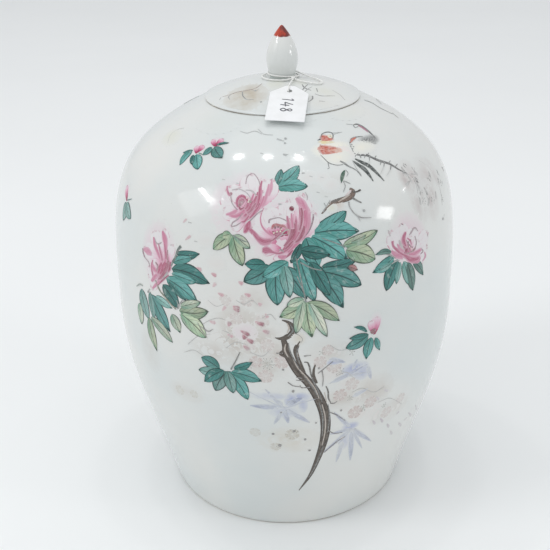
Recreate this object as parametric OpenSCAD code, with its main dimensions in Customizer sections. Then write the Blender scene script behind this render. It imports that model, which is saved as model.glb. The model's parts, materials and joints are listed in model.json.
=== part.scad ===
// Covered porcelain jar with a round shoulder, a flush domed lid with a bud knob,
// and a paper ticket tied round the knob's foot.
// Millimetres, +Z up. The origin is the centre of the foot ring, on the surface it stands on.
// The front of the jar faces -Y.

/* [Jar outside] */
// Radius of the jar at its widest
belly_r = 112; // [95:1:135]
// Height of the widest place, where the two thrown sections are joined
belly_z = 146; // [120:1:176]
// Radius of the foot
foot_r = 81; // [66:1:98]
// Height of the flat mouth rim that the lid rests on
rim_z = 272; // [226:1:328]
// Radius of the mouth rim's outer edge, and of the lid
mouth_r = 48.6; // [46:0.1:58.4]
// Slope of the shoulder where it meets the lid, in degrees
shoulder_slope = 25.7; // [20:0.1:32]
// Outward lean of the wall at the foot, in degrees
foot_lean = 13.5; // [8:0.5:18]
// Fullness of the curve above the foot
foot_fullness = 0.42; // [0.3:0.01:0.5]
// Fullness of the curve below the widest place
low_belly_fullness = 0.39; // [0.3:0.01:0.5]
// Fullness of the curve above the widest place
high_belly_fullness = 0.62; // [0.4:0.01:0.7]
// Fullness of the shoulder
shoulder_fullness = 0.95; // [0.6:0.01:1]

/* [Jar inside and foot] */
// Thickness of the wall
wall = 6; // [4.5:0.5:7.5]
// Thickness of the floor
floor_t = 7; // [5:0.5:9]
// Depth of the hollow under the foot
foot_depth = 8; // [6:0.5:10]
// Width of the ring that the jar stands on
foot_ring_w = 7; // [5:0.5:9]
// Bevel on the outer edge of the foot ring
foot_bevel = 1.5; // [1:0.1:2]
// Radius of the throat under the mouth rim
throat_r = 40; // [33:0.1:42]
// Height of the throat
throat_h = 8; // [7:0.5:10]

/* [Lid] */
// Height of the lid's dome above its edge
lid_rise = 10.6; // [8:0.2:14]
// Thickness of the lid's edge
lid_edge = 1; // [0.6:0.1:1.4]
// Thickness of the dome
lid_wall = 4.5; // [3.5:0.5:6]
// Gap that the rough unglazed rims leave between them
seat_gap = 0.2; // [0.1:0.1:0.4]
// Depth of the flange that drops into the throat
flange_depth = 12; // [9:0.5:16]
// Thickness of the flange
flange_wall = 4; // [3:0.5:5]
// Clearance between the flange and the throat
throat_gap = 1; // [0.6:0.1:1.4]

/* [Knob] */
// Height of the knob
knob_h = 32; // [26:1:40]
// Largest radius of the knob
knob_r = 9.85; // [9:0.05:12]
// Radius of the knob's foot, luted to the lid
knob_foot_r = 7.5; // [6:0.1:7.8]
// Height of the widest place on the knob
knob_wide_z = 11.5; // [9:0.5:14]
// Radius of the rounded tip
knob_tip_r = 0.9; // [0.5:0.1:1.5]

/* [Ticket] */
// Width of the card
card_w = 23; // [18:0.5:28]
// Length of the card
card_l = 36; // [30:0.5:44]
// Thickness of the card
card_t = 0.4; // [0.3:0.05:0.5]
// How far the cut corners reach down the sides
card_corner = 7.5; // [5:0.5:9]
// Width of the short top edge between the cut corners
card_top_w = 5; // [4:0.5:7]
// Radius of the string hole
card_hole_r = 1.6; // [1.4:0.1:2]
// Distance of the hole from the card's top edge
card_hole_drop = 5.4; // [4:0.2:7]
// Distance from the jar's axis to where the card touches the dome
card_rest_r = 38.5; // [34:0.5:42]
// How far the middle of the card lies past that place, down the slope
card_slip = 1; // [0:0.5:3]
// Sideways place of the card
card_side = 2.5; // [0:0.5:4]
// Turn of the card on the lid, in degrees
card_turn = -7; // [-12:1:0]
// Clearance of the card above the glaze
card_gap = 0.4; // [0.3:0.05:0.6]

/* [String] */
// Diameter of the string
string_d = 1; // [0.8:0.1:1.2]
// Diameter of the doubled lead between the knot and the card
lead_d = 1.4; // [1.2:0.1:1.6]
// Radius of the knot
knot_r = 1.4; // [1.2:0.1:1.6]

/* [Hidden] */
$fn = 96;
STEPS = 16;
STRING_SIDES = 8;
STRING_STEPS = 2;

// Heights and radii that follow from the sizes above
floor_z = foot_depth + floor_t;
foot_in_r = foot_r - foot_ring_w;
lid_seat_z = rim_z + seat_gap;
lid_edge_z = lid_seat_z + lid_edge;
lid_top_z = lid_edge_z + lid_rise;
dome_r = (pow(mouth_r, 2) + pow(lid_rise, 2)) / (2 * lid_rise);
dome_centre_z = lid_top_z - dome_r;
flange_r = throat_r - throat_gap;
flange_in_r = flange_r - flange_wall;
flange_low_z = lid_seat_z - flange_depth;
knob_seat_z = dome_z(knob_foot_r, dome_r);
card_slope = asin(card_rest_r / dome_r);

// Height of the dome of radius r at a distance x from the axis
function dome_z(x, r) = dome_centre_z + sqrt(r * r - x * x);

// A cubic curve through four control points, and its direction
function curve(c, t) =
    pow(1 - t, 3) * c[0] + 3 * pow(1 - t, 2) * t * c[1]
    + 3 * (1 - t) * t * t * c[2] + pow(t, 3) * c[3];
function curve_dir(c, t) =
    pow(1 - t, 2) * (c[1] - c[0]) + 2 * (1 - t) * t * (c[2] - c[1]) + t * t * (c[3] - c[2]);

// The unit normal that points to the left of a direction, and the curve moved along it
function left_of(d) = [-d[1], d[0]] / norm(d);
function inset(c, t, w) = curve(c, t) + w * left_of(curve_dir(c, t));
function samples(a, b, n) = [for (i = [0:n]) a + (b - a) * i / n];

// The jar's outer line, from the foot to the belly and from the belly to the mouth
low_curve = [
    [foot_r, 0],
    [foot_r + foot_fullness * belly_z * tan(foot_lean), foot_fullness * belly_z],
    [belly_r, belly_z * (1 - low_belly_fullness)],
    [belly_r, belly_z]
];
shoulder_reach = shoulder_fullness * (belly_r - mouth_r);
high_curve = [
    [belly_r, belly_z],
    [belly_r, belly_z + high_belly_fullness * (rim_z - belly_z)],
    [mouth_r + shoulder_reach, rim_z - shoulder_reach * tan(shoulder_slope)],
    [mouth_r, rim_z]
];

// The rounded corner inside, tangent to the wall and to the floor
CORNER_T = 0.14;
corner_top = inset(low_curve, CORNER_T, wall);
corner_normal = left_of(curve_dir(low_curve, CORNER_T));
corner_r = (corner_top[1] - floor_z) / (1 - corner_normal[1]);
corner_centre = corner_top + corner_r * corner_normal;
corner_end = atan2(-corner_normal[1], -corner_normal[0]);

// Where the wall inside stops under the thickened mouth
HIGH_END_T = 0.93;
throat_round = 2;

// The foot bevel starts where the wall's outer line has risen by the bevel
FOOT_T = foot_bevel / (3 * foot_fullness * belly_z);

// The string's route round the knob's foot, with heights above the dome: one loose low turn,
// one tight turn above it, then a slack bight on the right that comes back to the knot
string_route = [
    [5.8, -9.4, 1.5], [1, -11.1, 1.1], [-4.8, -10.3, 0.9], [-9.8, -6.9, 0.9],
    [-12.5, -1.1, 0.9], [-11.1, 5.2, 0.9], [-6.7, 9.6, 0.9], [-1, 11.2, 0.9],
    [4.6, 9.9, 0.9], [8.7, 6.1, 0.9], [10.3, 0.9, 1], [8.9, -4.1, 1.5],
    [5.3, -7.6, 2.1], [0.8, -9.1, 2.6], [-3.8, -8.2, 2.8], [-7.4, -5.2, 2.9],
    [-9, -0.8, 2.9], [-8.2, 3.8, 2.9], [-5.2, 7.4, 2.9], [-0.8, 9, 2.9],
    [3.8, 8.2, 2.9], [7.4, 5.3, 2.8], [10.4, 1.9, 2.6], [13.8, -1, 2],
    [17.8, -2.2, 1.2], [21.8, -3.3, 0.9], [24.5, -6.8, 0.9], [23.3, -10.7, 0.9],
    [19.6, -12.8, 0.9], [15, -13, 1.1], [10.9, -12, 1.2], [7.3, -9.8, 1.6]
];
knot_at = [6.5, -9.5, 1.8];
// The doubled lead's route, from beside the knot over the card's top edge to its hole
lead_route = [
    [6.2, -11.4, 1.7], [5.5, -14.5, 1.7], [4.7, -18.5, 1.9], [4, -22.2, 2.5],
    [3.4, -25.6, 2], [3, -27.8, 1.1]
];

// A route's point, with its height above the dome turned into a height above the floor
function above_dome(p) = [p[0], p[1], dome_z(norm([p[0], p[1]]), dome_r) + p[2]];

// A smooth line through the points p, and its direction
function past_end(p, i) =
    i < 0 ? 2 * p[0] - p[1] : i >= len(p) ? 2 * p[len(p) - 1] - p[len(p) - 2] : p[i];
function spline_at(p, i, t) =
    let (a = past_end(p, i - 1), b = p[i], c = past_end(p, i + 1), d = past_end(p, i + 2))
    0.5 * (2 * b + (c - a) * t + (2 * a - 5 * b + 4 * c - d) * t * t
        + (3 * b - a - 3 * c + d) * t * t * t);
function spline(p, n) = [
    for (i = [0:len(p) - 2]) for (k = [0:n - 1]) spline_at(p, i, k / n),
    p[len(p) - 1]
];
function unit(v) = v / norm(v);
function along(line, i) =
    unit(line[min(i + 1, len(line) - 1)] - line[max(i - 1, 0)]);

// One ring of a tube, square to its line
function ring(at, dir, r) =
    let (side = unit(cross(dir, [0, 0, 1])), up = cross(side, dir))
    [for (j = [0:STRING_SIDES - 1])
        let (a = 360 * j / STRING_SIDES) at + r * (cos(a) * side + sin(a) * up)];

// A tube of radius r along a line of points
module tube(line, r) {
    n = STRING_SIDES;
    last = len(line) - 1;
    points = [for (i = [0:last]) each ring(line[i], along(line, i), r)];
    walls = [
        for (i = [0:last - 1]) for (j = [0:n - 1])
            let (a = i * n + j, b = i * n + (j + 1) % n)
            each [[a, b, b + n], [a, b + n, a + n]]
    ];
    start_cap = [for (j = [n - 1:-1:0]) j];
    end_cap = [for (j = [0:n - 1]) last * n + j];
    polyhedron(points, concat(walls, [start_cap, end_cap]), convexity = 10);
}

// Foot, floor and wall up to the join at the belly
module lower_section() {
    outer = [for (t = samples(FOOT_T, 1, STEPS)) curve(low_curve, t)];
    inner = [for (t = samples(1, CORNER_T, STEPS)) inset(low_curve, t, wall)];
    corner = [
        for (a = samples(corner_end, -90, 8))
            corner_centre + corner_r * [cos(a), sin(a)]
    ];
    color("whitesmoke")
        rotate_extrude()
            polygon(concat(
                [[0, foot_depth], [foot_in_r - foot_bevel, foot_depth]],
                [[foot_in_r, foot_depth - foot_bevel], [foot_in_r, foot_bevel / 2]],
                [[foot_in_r + foot_bevel / 2, 0], [foot_r - foot_bevel, 0]],
                outer,
                inner,
                [for (i = [1:8]) corner[i]],
                [[0, floor_z]]
            ));
}

// Wall and shoulder from the join up to the flat mouth rim
module upper_section() {
    outer = [for (t = samples(0, 1, STEPS)) curve(high_curve, t)];
    inner = [for (t = samples(HIGH_END_T, 0, STEPS)) inset(high_curve, t, wall)];
    throat_low_z = rim_z - throat_h;
    color("snow")
        rotate_extrude()
            polygon(concat(
                outer,
                [[throat_r, rim_z], [throat_r, throat_low_z + throat_round]],
                [[throat_r + throat_round, throat_low_z]],
                inner
            ));
}

// Domed plate that rests on the mouth rim, with a flange that drops into the throat
module lid() {
    dome_edge = asin(mouth_r / dome_r);
    hollow_r = dome_r - lid_wall;
    hollow_edge = asin(flange_in_r / hollow_r);
    dome = [
        for (a = samples(dome_edge, asin(knob_foot_r / dome_r), STEPS))
            [dome_r * sin(a), dome_centre_z + dome_r * cos(a)]
    ];
    hollow = [
        for (a = samples(0, hollow_edge, STEPS))
            [hollow_r * sin(a), dome_centre_z + hollow_r * cos(a)]
    ];
    color("ghostwhite")
        rotate_extrude()
            polygon(concat(
                hollow,
                [[flange_in_r, flange_low_z + 1], [flange_in_r + 1, flange_low_z]],
                [[flange_r - 1, flange_low_z], [flange_r, flange_low_z + 1]],
                [[flange_r, lid_seat_z], [mouth_r - lid_edge / 2, lid_seat_z]],
                [[mouth_r, lid_seat_z + lid_edge / 2]],
                dome,
                [[0, knob_seat_z]]
            ));
}

// Pointed bud that stands on the middle of the lid
module knob() {
    low = [
        [knob_foot_r, 0], [knob_foot_r + 0.4, 3],
        [knob_r, knob_wide_z - 4.5], [knob_r, knob_wide_z]
    ];
    high = [
        [knob_r, knob_wide_z], [knob_r, knob_wide_z + 6],
        [0.66 * knob_r, knob_h - 7], [knob_tip_r, knob_h - knob_tip_r / 2]
    ];
    color("lightcoral")
        translate([0, 0, knob_seat_z])
            rotate_extrude()
                polygon(concat(
                    [[0, 0]],
                    [for (t = samples(0, 1, STEPS)) curve(low, t)],
                    [for (i = [1:STEPS]) curve(high, i / STEPS)],
                    [[knob_tip_r / 2, knob_h - knob_tip_r / 6], [0, knob_h]]
                ));
}

// String that goes twice round the knob's foot and lies in a slack bight on the lid
module tag_string() {
    color("linen")
        tube(spline([for (p = string_route) above_dome(p)], STRING_STEPS), string_d / 2);
}

// Knot that closes the string beside the knob
module string_knot() {
    color("antiquewhite")
        translate(above_dome(knot_at))
            sphere(r = knot_r);
}

// Doubled string from the knot to the card's hole
module tag_lead() {
    color("oldlace")
        tube(spline([for (p = lead_route) above_dome(p)], STRING_STEPS), lead_d / 2);
}

// Paper card with two cut corners and a hole, lying on the lid's dome
module tag_card() {
    half_w = card_w / 2;
    half_l = card_l / 2;
    corner_z = half_l - card_corner;
    top = card_top_w / 2;
    color("white")
        translate([0, -card_rest_r, dome_z(card_rest_r, dome_r)])
            rotate([card_slope, 0, 0])
                translate([card_side, -card_slip, card_gap + card_t / 2])
                    rotate([0, 0, card_turn])
                        linear_extrude(card_t, center = true)
                            difference() {
                                polygon([
                                    [-half_w, -half_l], [half_w, -half_l],
                                    [half_w, corner_z], [top, half_l],
                                    [-top, half_l], [-half_w, corner_z]
                                ]);
                                translate([0, half_l - card_hole_drop])
                                    circle(r = card_hole_r);
                            }
}

lower_section();
upper_section();
lid();
knob();
tag_string();
string_knot();
tag_lead();
tag_card();
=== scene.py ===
import json
import math

import bpy
import numpy as np
from mathutils import Matrix, Vector

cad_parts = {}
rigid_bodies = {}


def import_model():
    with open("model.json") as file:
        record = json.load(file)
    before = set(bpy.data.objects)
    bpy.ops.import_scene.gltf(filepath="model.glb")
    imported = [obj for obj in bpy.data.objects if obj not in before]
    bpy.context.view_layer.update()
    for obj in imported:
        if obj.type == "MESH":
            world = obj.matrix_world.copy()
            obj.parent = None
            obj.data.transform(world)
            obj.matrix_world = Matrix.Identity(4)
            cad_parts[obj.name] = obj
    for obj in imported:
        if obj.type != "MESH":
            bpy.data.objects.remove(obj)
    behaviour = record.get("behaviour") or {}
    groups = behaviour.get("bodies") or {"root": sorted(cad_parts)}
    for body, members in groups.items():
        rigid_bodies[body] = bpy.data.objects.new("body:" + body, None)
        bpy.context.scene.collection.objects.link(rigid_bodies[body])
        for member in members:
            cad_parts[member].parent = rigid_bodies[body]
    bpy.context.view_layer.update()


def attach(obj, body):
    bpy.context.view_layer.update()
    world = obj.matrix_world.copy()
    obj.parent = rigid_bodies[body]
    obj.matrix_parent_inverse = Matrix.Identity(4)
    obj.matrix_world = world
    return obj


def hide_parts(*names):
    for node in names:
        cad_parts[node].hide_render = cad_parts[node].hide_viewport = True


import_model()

MM = 0.001

# Sizes of the jar, lid and knob in millimetres, as in the part's source
BELLY_R, BELLY_Z, FOOT_R, RIM_Z, MOUTH_R = 112, 146, 81, 272, 48.6
WALL, FLOOR_Z, FOOT_DEPTH, FOOT_IN_R, FOOT_BEVEL = 6, 15, 8, 74, 1.5
THROAT_R, THROAT_LOW, THROAT_ROUND = 40, 264, 2
LID_SEAT, LID_EDGE, LID_RISE, LID_WALL = 272.2, 1, 10.6, 4.5
FLANGE_R, FLANGE_IN_R, FLANGE_LOW = 39, 35, 260.2
KNOB_R, KNOB_FOOT_R, KNOB_WIDE_Z, KNOB_H, KNOB_TIP_R = 9.85, 7.5, 11.5, 32, 0.9
DOME_R = (MOUTH_R**2 + LID_RISE**2) / (2 * LID_RISE)
DOME_CENTRE = LID_SEAT + LID_EDGE + LID_RISE - DOME_R

# How the jar's outline leans and how full its curves are
FOOT_LEAN, FOOT_FULLNESS, LOW_FULLNESS, HIGH_FULLNESS = 13.5, 0.42, 0.39, 0.62
SHOULDER_SLOPE, SHOULDER_FULLNESS = 25.7, 0.95

CAMERA_AT, CAMERA_TILT, CAMERA_ROLL = (-0.00657, -0.5884, 0.4252), 64.7, -0.93
SENSOR, LENS = 36, 62.2

rng = np.random.RandomState(8)


def dome_z(x, y=0.0):
    """Height of the lid's glaze at a place on it"""
    return DOME_CENTRE + np.sqrt(DOME_R**2 - np.square(x) - np.square(y))


KNOB_SEAT = float(dome_z(KNOB_FOOT_R))


# ---------------------------------------------------------------- camera


def make_camera():
    data = bpy.data.cameras.new("camera")
    data.sensor_width, data.lens = SENSOR, LENS
    camera = bpy.data.objects.new("camera", data)
    bpy.context.scene.collection.objects.link(camera)
    tilt = Matrix.Rotation(math.radians(CAMERA_TILT), 4, "X")
    roll = Matrix.Rotation(math.radians(CAMERA_ROLL), 4, "Z")
    camera.matrix_world = Matrix.Translation(CAMERA_AT) @ (tilt @ roll)
    bpy.context.scene.camera = camera


make_camera()


# ---------------------------------------------------------------- lines and shapes


def smooth_line(points, steps):
    """A smooth line through the points, as rows of numbers"""
    p = np.array(points, float)
    p = np.vstack([2 * p[0] - p[1], p, 2 * p[-1] - p[-2]])
    t = np.arange(steps)[:, None] / steps
    rows = []
    for a, b, c, d in zip(p, p[1:], p[2:], p[3:]):
        bend, twist = 2 * a - 5 * b + 4 * c - d, 3 * b - a - 3 * c + d
        rows.append(0.5 * (2 * b + (c - a) * t + bend * t**2 + twist * t**3))
    return np.vstack(rows + [p[-2:-1]])


def curve(c, n, start=0.0, end=1.0, inset=0.0):
    """A cubic curve through four control points, moved to its left by the inset"""
    t = np.linspace(start, end, n)[:, None]
    a, b, c, d = (np.array(p, float) for p in c)
    line = (1 - t) ** 3 * a + 3 * (1 - t) ** 2 * t * b + 3 * (1 - t) * t * t * c + t**3 * d
    way = (1 - t) ** 2 * (b - a) + 2 * (1 - t) * t * (c - b) + t * t * (d - c)
    left = np.stack([-way[:, 1], way[:, 0]], 1)
    return line + inset * left / np.linalg.norm(left, axis=1)[:, None]


def arc(r, start, end, n):
    """Part of a circle round the dome's centre, from one angle off the axis to another"""
    a = np.radians(np.linspace(start, end, n))
    return np.stack([r * np.sin(a), DOME_CENTRE + r * np.cos(a)], 1)


LOW_CURVE = [
    (FOOT_R, 0),
    (FOOT_R + FOOT_FULLNESS * BELLY_Z * math.tan(math.radians(FOOT_LEAN)), FOOT_FULLNESS * BELLY_Z),
    (BELLY_R, BELLY_Z * (1 - LOW_FULLNESS)),
    (BELLY_R, BELLY_Z),
]
REACH = SHOULDER_FULLNESS * (BELLY_R - MOUTH_R)
HIGH_CURVE = [
    (BELLY_R, BELLY_Z),
    (BELLY_R, BELLY_Z + HIGH_FULLNESS * (RIM_Z - BELLY_Z)),
    (MOUTH_R + REACH, RIM_Z - REACH * math.tan(math.radians(SHOULDER_SLOPE))),
    (MOUTH_R, RIM_Z),
]

# The wall's outer line from the foot to the mouth, with its length, for laying the painting
wall_line = np.vstack([curve(LOW_CURVE, 400), curve(HIGH_CURVE, 400)[1:]])
wall_way = np.gradient(wall_line, axis=0)
wall_way /= np.linalg.norm(wall_way, axis=1)[:, None]
wall_length = np.r_[0, np.cumsum(np.linalg.norm(np.diff(wall_line, axis=0), axis=1))]


def deselect():
    for o in bpy.context.scene.objects:
        o.select_set(False)


def active(piece):
    deselect()
    piece.select_set(True)
    bpy.context.view_layer.objects.active = piece


def edit(mode="EDIT"):
    bpy.ops.object.mode_set(mode=mode)


def ruled(name, rings, closed=False):
    """A tube through rings of points, with the way along it as its own UV"""
    rings = np.array(rings)
    n, sides = rings.shape[:2]
    faces, uvs = [], []
    for i in range(n if closed else n - 1):
        for k in range(sides):
            a, b = i * sides + k, i * sides + (k + 1) % sides
            c, d = (b + sides) % (n * sides), (a + sides) % (n * sides)
            faces.append((a, b, c, d))
            u, v = k / sides, i / n
            uvs += [(u, v), (u + 1 / sides, v), (u + 1 / sides, v + 1 / n), (u, v + 1 / n)]
    if not closed:
        faces += [tuple(range(sides))[::-1], tuple(range((n - 1) * sides, n * sides))]
        uvs += [(0.5, 0.0)] * sides + [(0.5, 1.0)] * sides
    mesh = bpy.data.meshes.new(name)
    mesh.from_pydata((rings.reshape(-1, 3) * MM).tolist(), [], faces)
    layer = mesh.uv_layers.new(name="thread")
    layer.data.foreach_set("uv", np.array(uvs, np.float32).ravel())
    mesh.shade_smooth()
    piece = bpy.data.objects.new(name, mesh)
    bpy.context.scene.collection.objects.link(piece)
    active(piece)
    edit()
    bpy.ops.mesh.select_all(action="SELECT")
    bpy.ops.mesh.normals_make_consistent(inside=False)
    edit("OBJECT")
    return piece


def yarn_rings(line, radius, lobes, pitch, closed=False, sides=12):
    """Rings round a line, whose lobed section turns once in every pitch as twisted threads do"""
    around = np.roll(line, -1, 0) - np.roll(line, 1, 0)
    ahead = around if closed else np.gradient(line, axis=0)
    ahead /= np.linalg.norm(ahead, axis=1)[:, None]
    side = np.cross(ahead, (0, 0, 1))
    side /= np.linalg.norm(side, axis=1)[:, None]
    up = np.cross(side, ahead)
    gone = np.r_[0, np.cumsum(np.linalg.norm(np.diff(line, axis=0), axis=1))]
    if closed:
        pitch = gone[-1] / max(1, round(gone[-1] / pitch))
    rings = []
    for p, s, u, g in zip(line, side, up, gone):
        ring = []
        for k in range(sides):
            a = 2 * math.pi * k / sides
            swell = abs(math.cos(lobes / 2 * (a - 2 * math.pi * g / pitch / lobes)))
            ring.append(p + radius * (0.74 + 0.26 * swell) * (math.cos(a) * s + math.sin(a) * u))
        rings.append(ring)
    return rings


# ---------------------------------------------------------------- string and ticket lead

# The string's and the lead's routes, as in the part's source, with heights above the dome
STRING_ROUTE = [
    (5.8, -9.4, 1.5), (1, -11.1, 1.1), (-4.8, -10.3, 0.9), (-9.8, -6.9, 0.9),
    (-12.5, -1.1, 0.9), (-11.1, 5.2, 0.9), (-6.7, 9.6, 0.9), (-1, 11.2, 0.9),
    (4.6, 9.9, 0.9), (8.7, 6.1, 0.9), (10.3, 0.9, 1), (8.9, -4.1, 1.5),
    (5.3, -7.6, 2.1), (0.8, -9.1, 2.6), (-3.8, -8.2, 2.8), (-7.4, -5.2, 2.9),
    (-9, -0.8, 2.9), (-8.2, 3.8, 2.9), (-5.2, 7.4, 2.9), (-0.8, 9, 2.9),
    (3.8, 8.2, 2.9), (7.4, 5.3, 2.8), (10.4, 1.9, 2.6), (13.8, -1, 2),
    (17.8, -2.2, 1.2), (21.8, -3.3, 0.9), (24.5, -6.8, 0.9), (23.3, -10.7, 0.9),
    (19.6, -12.8, 0.9), (15, -13, 1.1), (10.9, -12, 1.2), (7.3, -9.8, 1.6),
]
KNOT_AT = (6.5, -9.5, 1.8)
LEAD_ROUTE = [
    (6.2, -11.4, 1.7), (5.5, -14.5, 1.7), (4.7, -18.5, 1.9), (4, -22.2, 2.5),
    (3.4, -25.6, 2), (3, -27.8, 1.1),
]


def above_dome(p):
    return (p[0], p[1], float(dome_z(p[0], p[1])) + p[2])


string_line = smooth_line([above_dome(p) for p in STRING_ROUTE], 12)
string_piece = ruled("knob_string", yarn_rings(string_line, 0.5, 3, 3.6))


def make_knot():
    """An overhand knot drawn tight: a line that passes over and under itself three times"""
    a = np.linspace(0, 2 * math.pi, 72, endpoint=False)
    x, y = np.sin(a) + 2 * np.sin(2 * a), np.cos(a) - 2 * np.cos(2 * a)
    line = np.stack([x, y, -np.sin(3 * a) * 1.5], 1) * 0.32 + np.array(above_dome(KNOT_AT))
    return ruled("string_knot_tied", yarn_rings(line, 0.46, 3, 2.4, closed=True, sides=10), True)


def make_lead():
    """Two strands that wind round each other from the knot to the ticket"""
    line = smooth_line([above_dome(p) for p in LEAD_ROUTE], 14)
    gone = np.r_[0, np.cumsum(np.linalg.norm(np.diff(line, axis=0), axis=1))]
    strands = []
    for side in (0, math.pi):
        a = 2 * math.pi * gone / 9 + side
        apart = 0.33 * np.stack([np.cos(a), 0 * a, np.sin(a)], 1)
        strands.append(ruled("ticket_lead", yarn_rings(line + apart, 0.36, 3, 2.8)))
    active(strands[0])
    strands[1].select_set(True)
    bpy.ops.object.join()
    return strands[0]


knot_piece = make_knot()
lead_piece = make_lead()


# ---------------------------------------------------------------- ticket

CARD_W, CARD_L, CARD_T, CARD_CORNER, CARD_TOP_W = 23, 36, 0.4, 7.5, 5
CARD_HOLE_R, CARD_HOLE_Y, CARD_ROUND = 1.6, 12.6, 0.7
CARD_REST_R, CARD_PLACE, CARD_TURN = 38.5, (2.5, -1, 0.4), -7
CARD_SLOPE = math.degrees(math.asin(CARD_REST_R / DOME_R))


def card_place():
    """Where the ticket lies: its underside's middle on the lid's slope"""
    return (
        Matrix.Translation((0, -CARD_REST_R * MM, float(dome_z(CARD_REST_R)) * MM))
        @ Matrix.Rotation(math.radians(CARD_SLOPE), 4, "X")
        @ Matrix.Translation([v * MM for v in CARD_PLACE])
        @ Matrix.Rotation(math.radians(CARD_TURN), 4, "Z")
    )


def card_outline():
    """The ticket's edge: two cut corners at the string's end, every corner a little rounded"""
    w, l, c, t = CARD_W / 2, CARD_L / 2, CARD_L / 2 - CARD_CORNER, CARD_TOP_W / 2
    corners = [(-w, -l), (w, -l), (w, c), (t, l), (-t, l), (-w, c)]
    line = []
    for i, p in enumerate(corners):
        p, q, o = (np.array(corners[(i + k) % 6], float) for k in (0, 1, -1))
        a, b = (o - p) / np.linalg.norm(o - p), (q - p) / np.linalg.norm(q - p)
        for f in (0.0, 0.25, 0.5, 0.75, 1.0):
            line.append(p + CARD_ROUND * ((1 - f) ** 2 * a + f**2 * b))
    return line


def make_card():
    outline = card_outline()
    deselect()
    bpy.ops.mesh.primitive_circle_add(vertices=len(outline), radius=CARD_W * MM)
    card = bpy.context.object
    for v, (x, y) in zip(card.data.vertices, outline):
        v.co = (x * MM, y * MM, 0)
    hole_at = (0, CARD_HOLE_Y * MM, 0)
    bpy.ops.mesh.primitive_circle_add(vertices=32, radius=CARD_HOLE_R * MM, location=hole_at)
    bpy.ops.object.transform_apply(location=True)
    card.select_set(True)
    bpy.context.view_layer.objects.active = card
    bpy.ops.object.join()
    edit()
    bpy.ops.mesh.select_all(action="SELECT")
    bpy.ops.mesh.fill()
    bpy.ops.mesh.normals_make_consistent(inside=False)
    edit("OBJECT")
    if card.data.polygons[0].normal.z < 0:
        card.data.flip_normals()
    thick = card.modifiers.new("thickness", "SOLIDIFY")
    thick.thickness, thick.offset = CARD_T * MM, 1
    bpy.ops.object.modifier_apply(modifier=thick.name)
    worn = card.modifiers.new("worn edge", "BEVEL")
    worn.width, worn.segments = 0.06 * MM, 2
    bpy.ops.object.modifier_apply(modifier=worn.name)
    card.data.transform(card_place())
    card.name = "paper_ticket"
    bpy.ops.object.shade_smooth_by_angle(angle=math.radians(30))
    return card


card_piece = make_card()

# ---------------------------------------------------------------- turned pieces


def turned(name, outline, steps=192):
    """A ring of points becomes the half section, which is spun round the jar's axis"""
    outline = np.array(outline, float) * MM
    deselect()
    bpy.ops.mesh.primitive_circle_add(vertices=len(outline), radius=0.01)
    piece = bpy.context.object
    piece.name = name
    for v, (r, z) in zip(piece.data.vertices, outline):
        v.co = (r, 0, z)
    last = len(outline) - 1
    for e in piece.data.edges:
        e.select = set(e.vertices) == {0, last}
    bpy.context.tool_settings.mesh_select_mode = (False, True, False)
    edit()
    bpy.ops.mesh.delete(type="EDGE")
    bpy.ops.mesh.select_all(action="SELECT")
    bpy.ops.mesh.spin(steps=steps, angle=2 * math.pi, center=(0, 0, 0), axis=(0, 0, 1))
    bpy.ops.mesh.select_all(action="SELECT")
    bpy.ops.mesh.remove_doubles(threshold=1e-6)
    bpy.ops.mesh.normals_make_consistent(inside=False)
    edit("OBJECT")
    active(piece)
    bpy.ops.object.shade_smooth_by_angle(angle=math.radians(32))
    return piece


def jar_outline():
    """The wall's half section: hollow foot, outside, rim and throat, inside and rounded floor"""
    corner_t = 0.14  # how far up the low curve the floor's rounding meets the wall
    top = curve(LOW_CURVE, 1, corner_t, corner_t, WALL)[0]
    wall = curve(LOW_CURVE, 1, corner_t, corner_t)[0]
    inward = (top - wall) / WALL
    r = (top[1] - FLOOR_Z) / (1 - inward[1])
    centre = top + r * inward
    start = math.atan2(-inward[1], -inward[0])
    corner = [
        centre + r * np.array((math.cos(a), math.sin(a)))
        for a in np.linspace(start, -math.pi / 2, 10)[1:]
    ]
    return np.vstack([
        [(0, FOOT_DEPTH), (40, FOOT_DEPTH), (FOOT_IN_R - FOOT_BEVEL, FOOT_DEPTH)],
        [(FOOT_IN_R, FOOT_DEPTH - FOOT_BEVEL), (FOOT_IN_R, 0.75), (FOOT_IN_R + 0.75, 0)],
        [(FOOT_R - FOOT_BEVEL, 0), (FOOT_R - 0.5, 0.45)],
        curve(LOW_CURVE, 70, 0.01, 1),
        curve(HIGH_CURVE, 90, 0, 0.996)[1:],
        [(MOUTH_R - 0.35, RIM_Z - 0.02), (THROAT_R + 0.4, RIM_Z), (THROAT_R, RIM_Z - 0.4)],
        [(THROAT_R, THROAT_LOW + THROAT_ROUND), (THROAT_R + THROAT_ROUND, THROAT_LOW)],
        curve(HIGH_CURVE, 40, 0.93, 0, WALL),
        curve(LOW_CURVE, 40, 1, corner_t, WALL)[1:],
        corner,
        [(0, FLOOR_Z)],
    ])


def lid_outline():
    """The lid's half section: inside of the dome, flange, seat, edge and dome"""
    hollow = DOME_R - LID_WALL
    return np.vstack([
        arc(hollow, 0, math.degrees(math.asin(FLANGE_IN_R / hollow)), 18),
        [(FLANGE_IN_R, FLANGE_LOW + 1), (FLANGE_IN_R + 1, FLANGE_LOW)],
        [(FLANGE_R - 1, FLANGE_LOW), (FLANGE_R, FLANGE_LOW + 1), (FLANGE_R, LID_SEAT)],
        [(MOUTH_R - 0.5, LID_SEAT), (MOUTH_R - 0.12, LID_SEAT + 0.15)],
        [(MOUTH_R, LID_SEAT + 0.5), (MOUTH_R - 0.02, LID_SEAT + 0.85)],
        arc(DOME_R, math.degrees(math.asin((MOUTH_R - 0.25) / DOME_R)), 0, 44),
    ])


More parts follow.
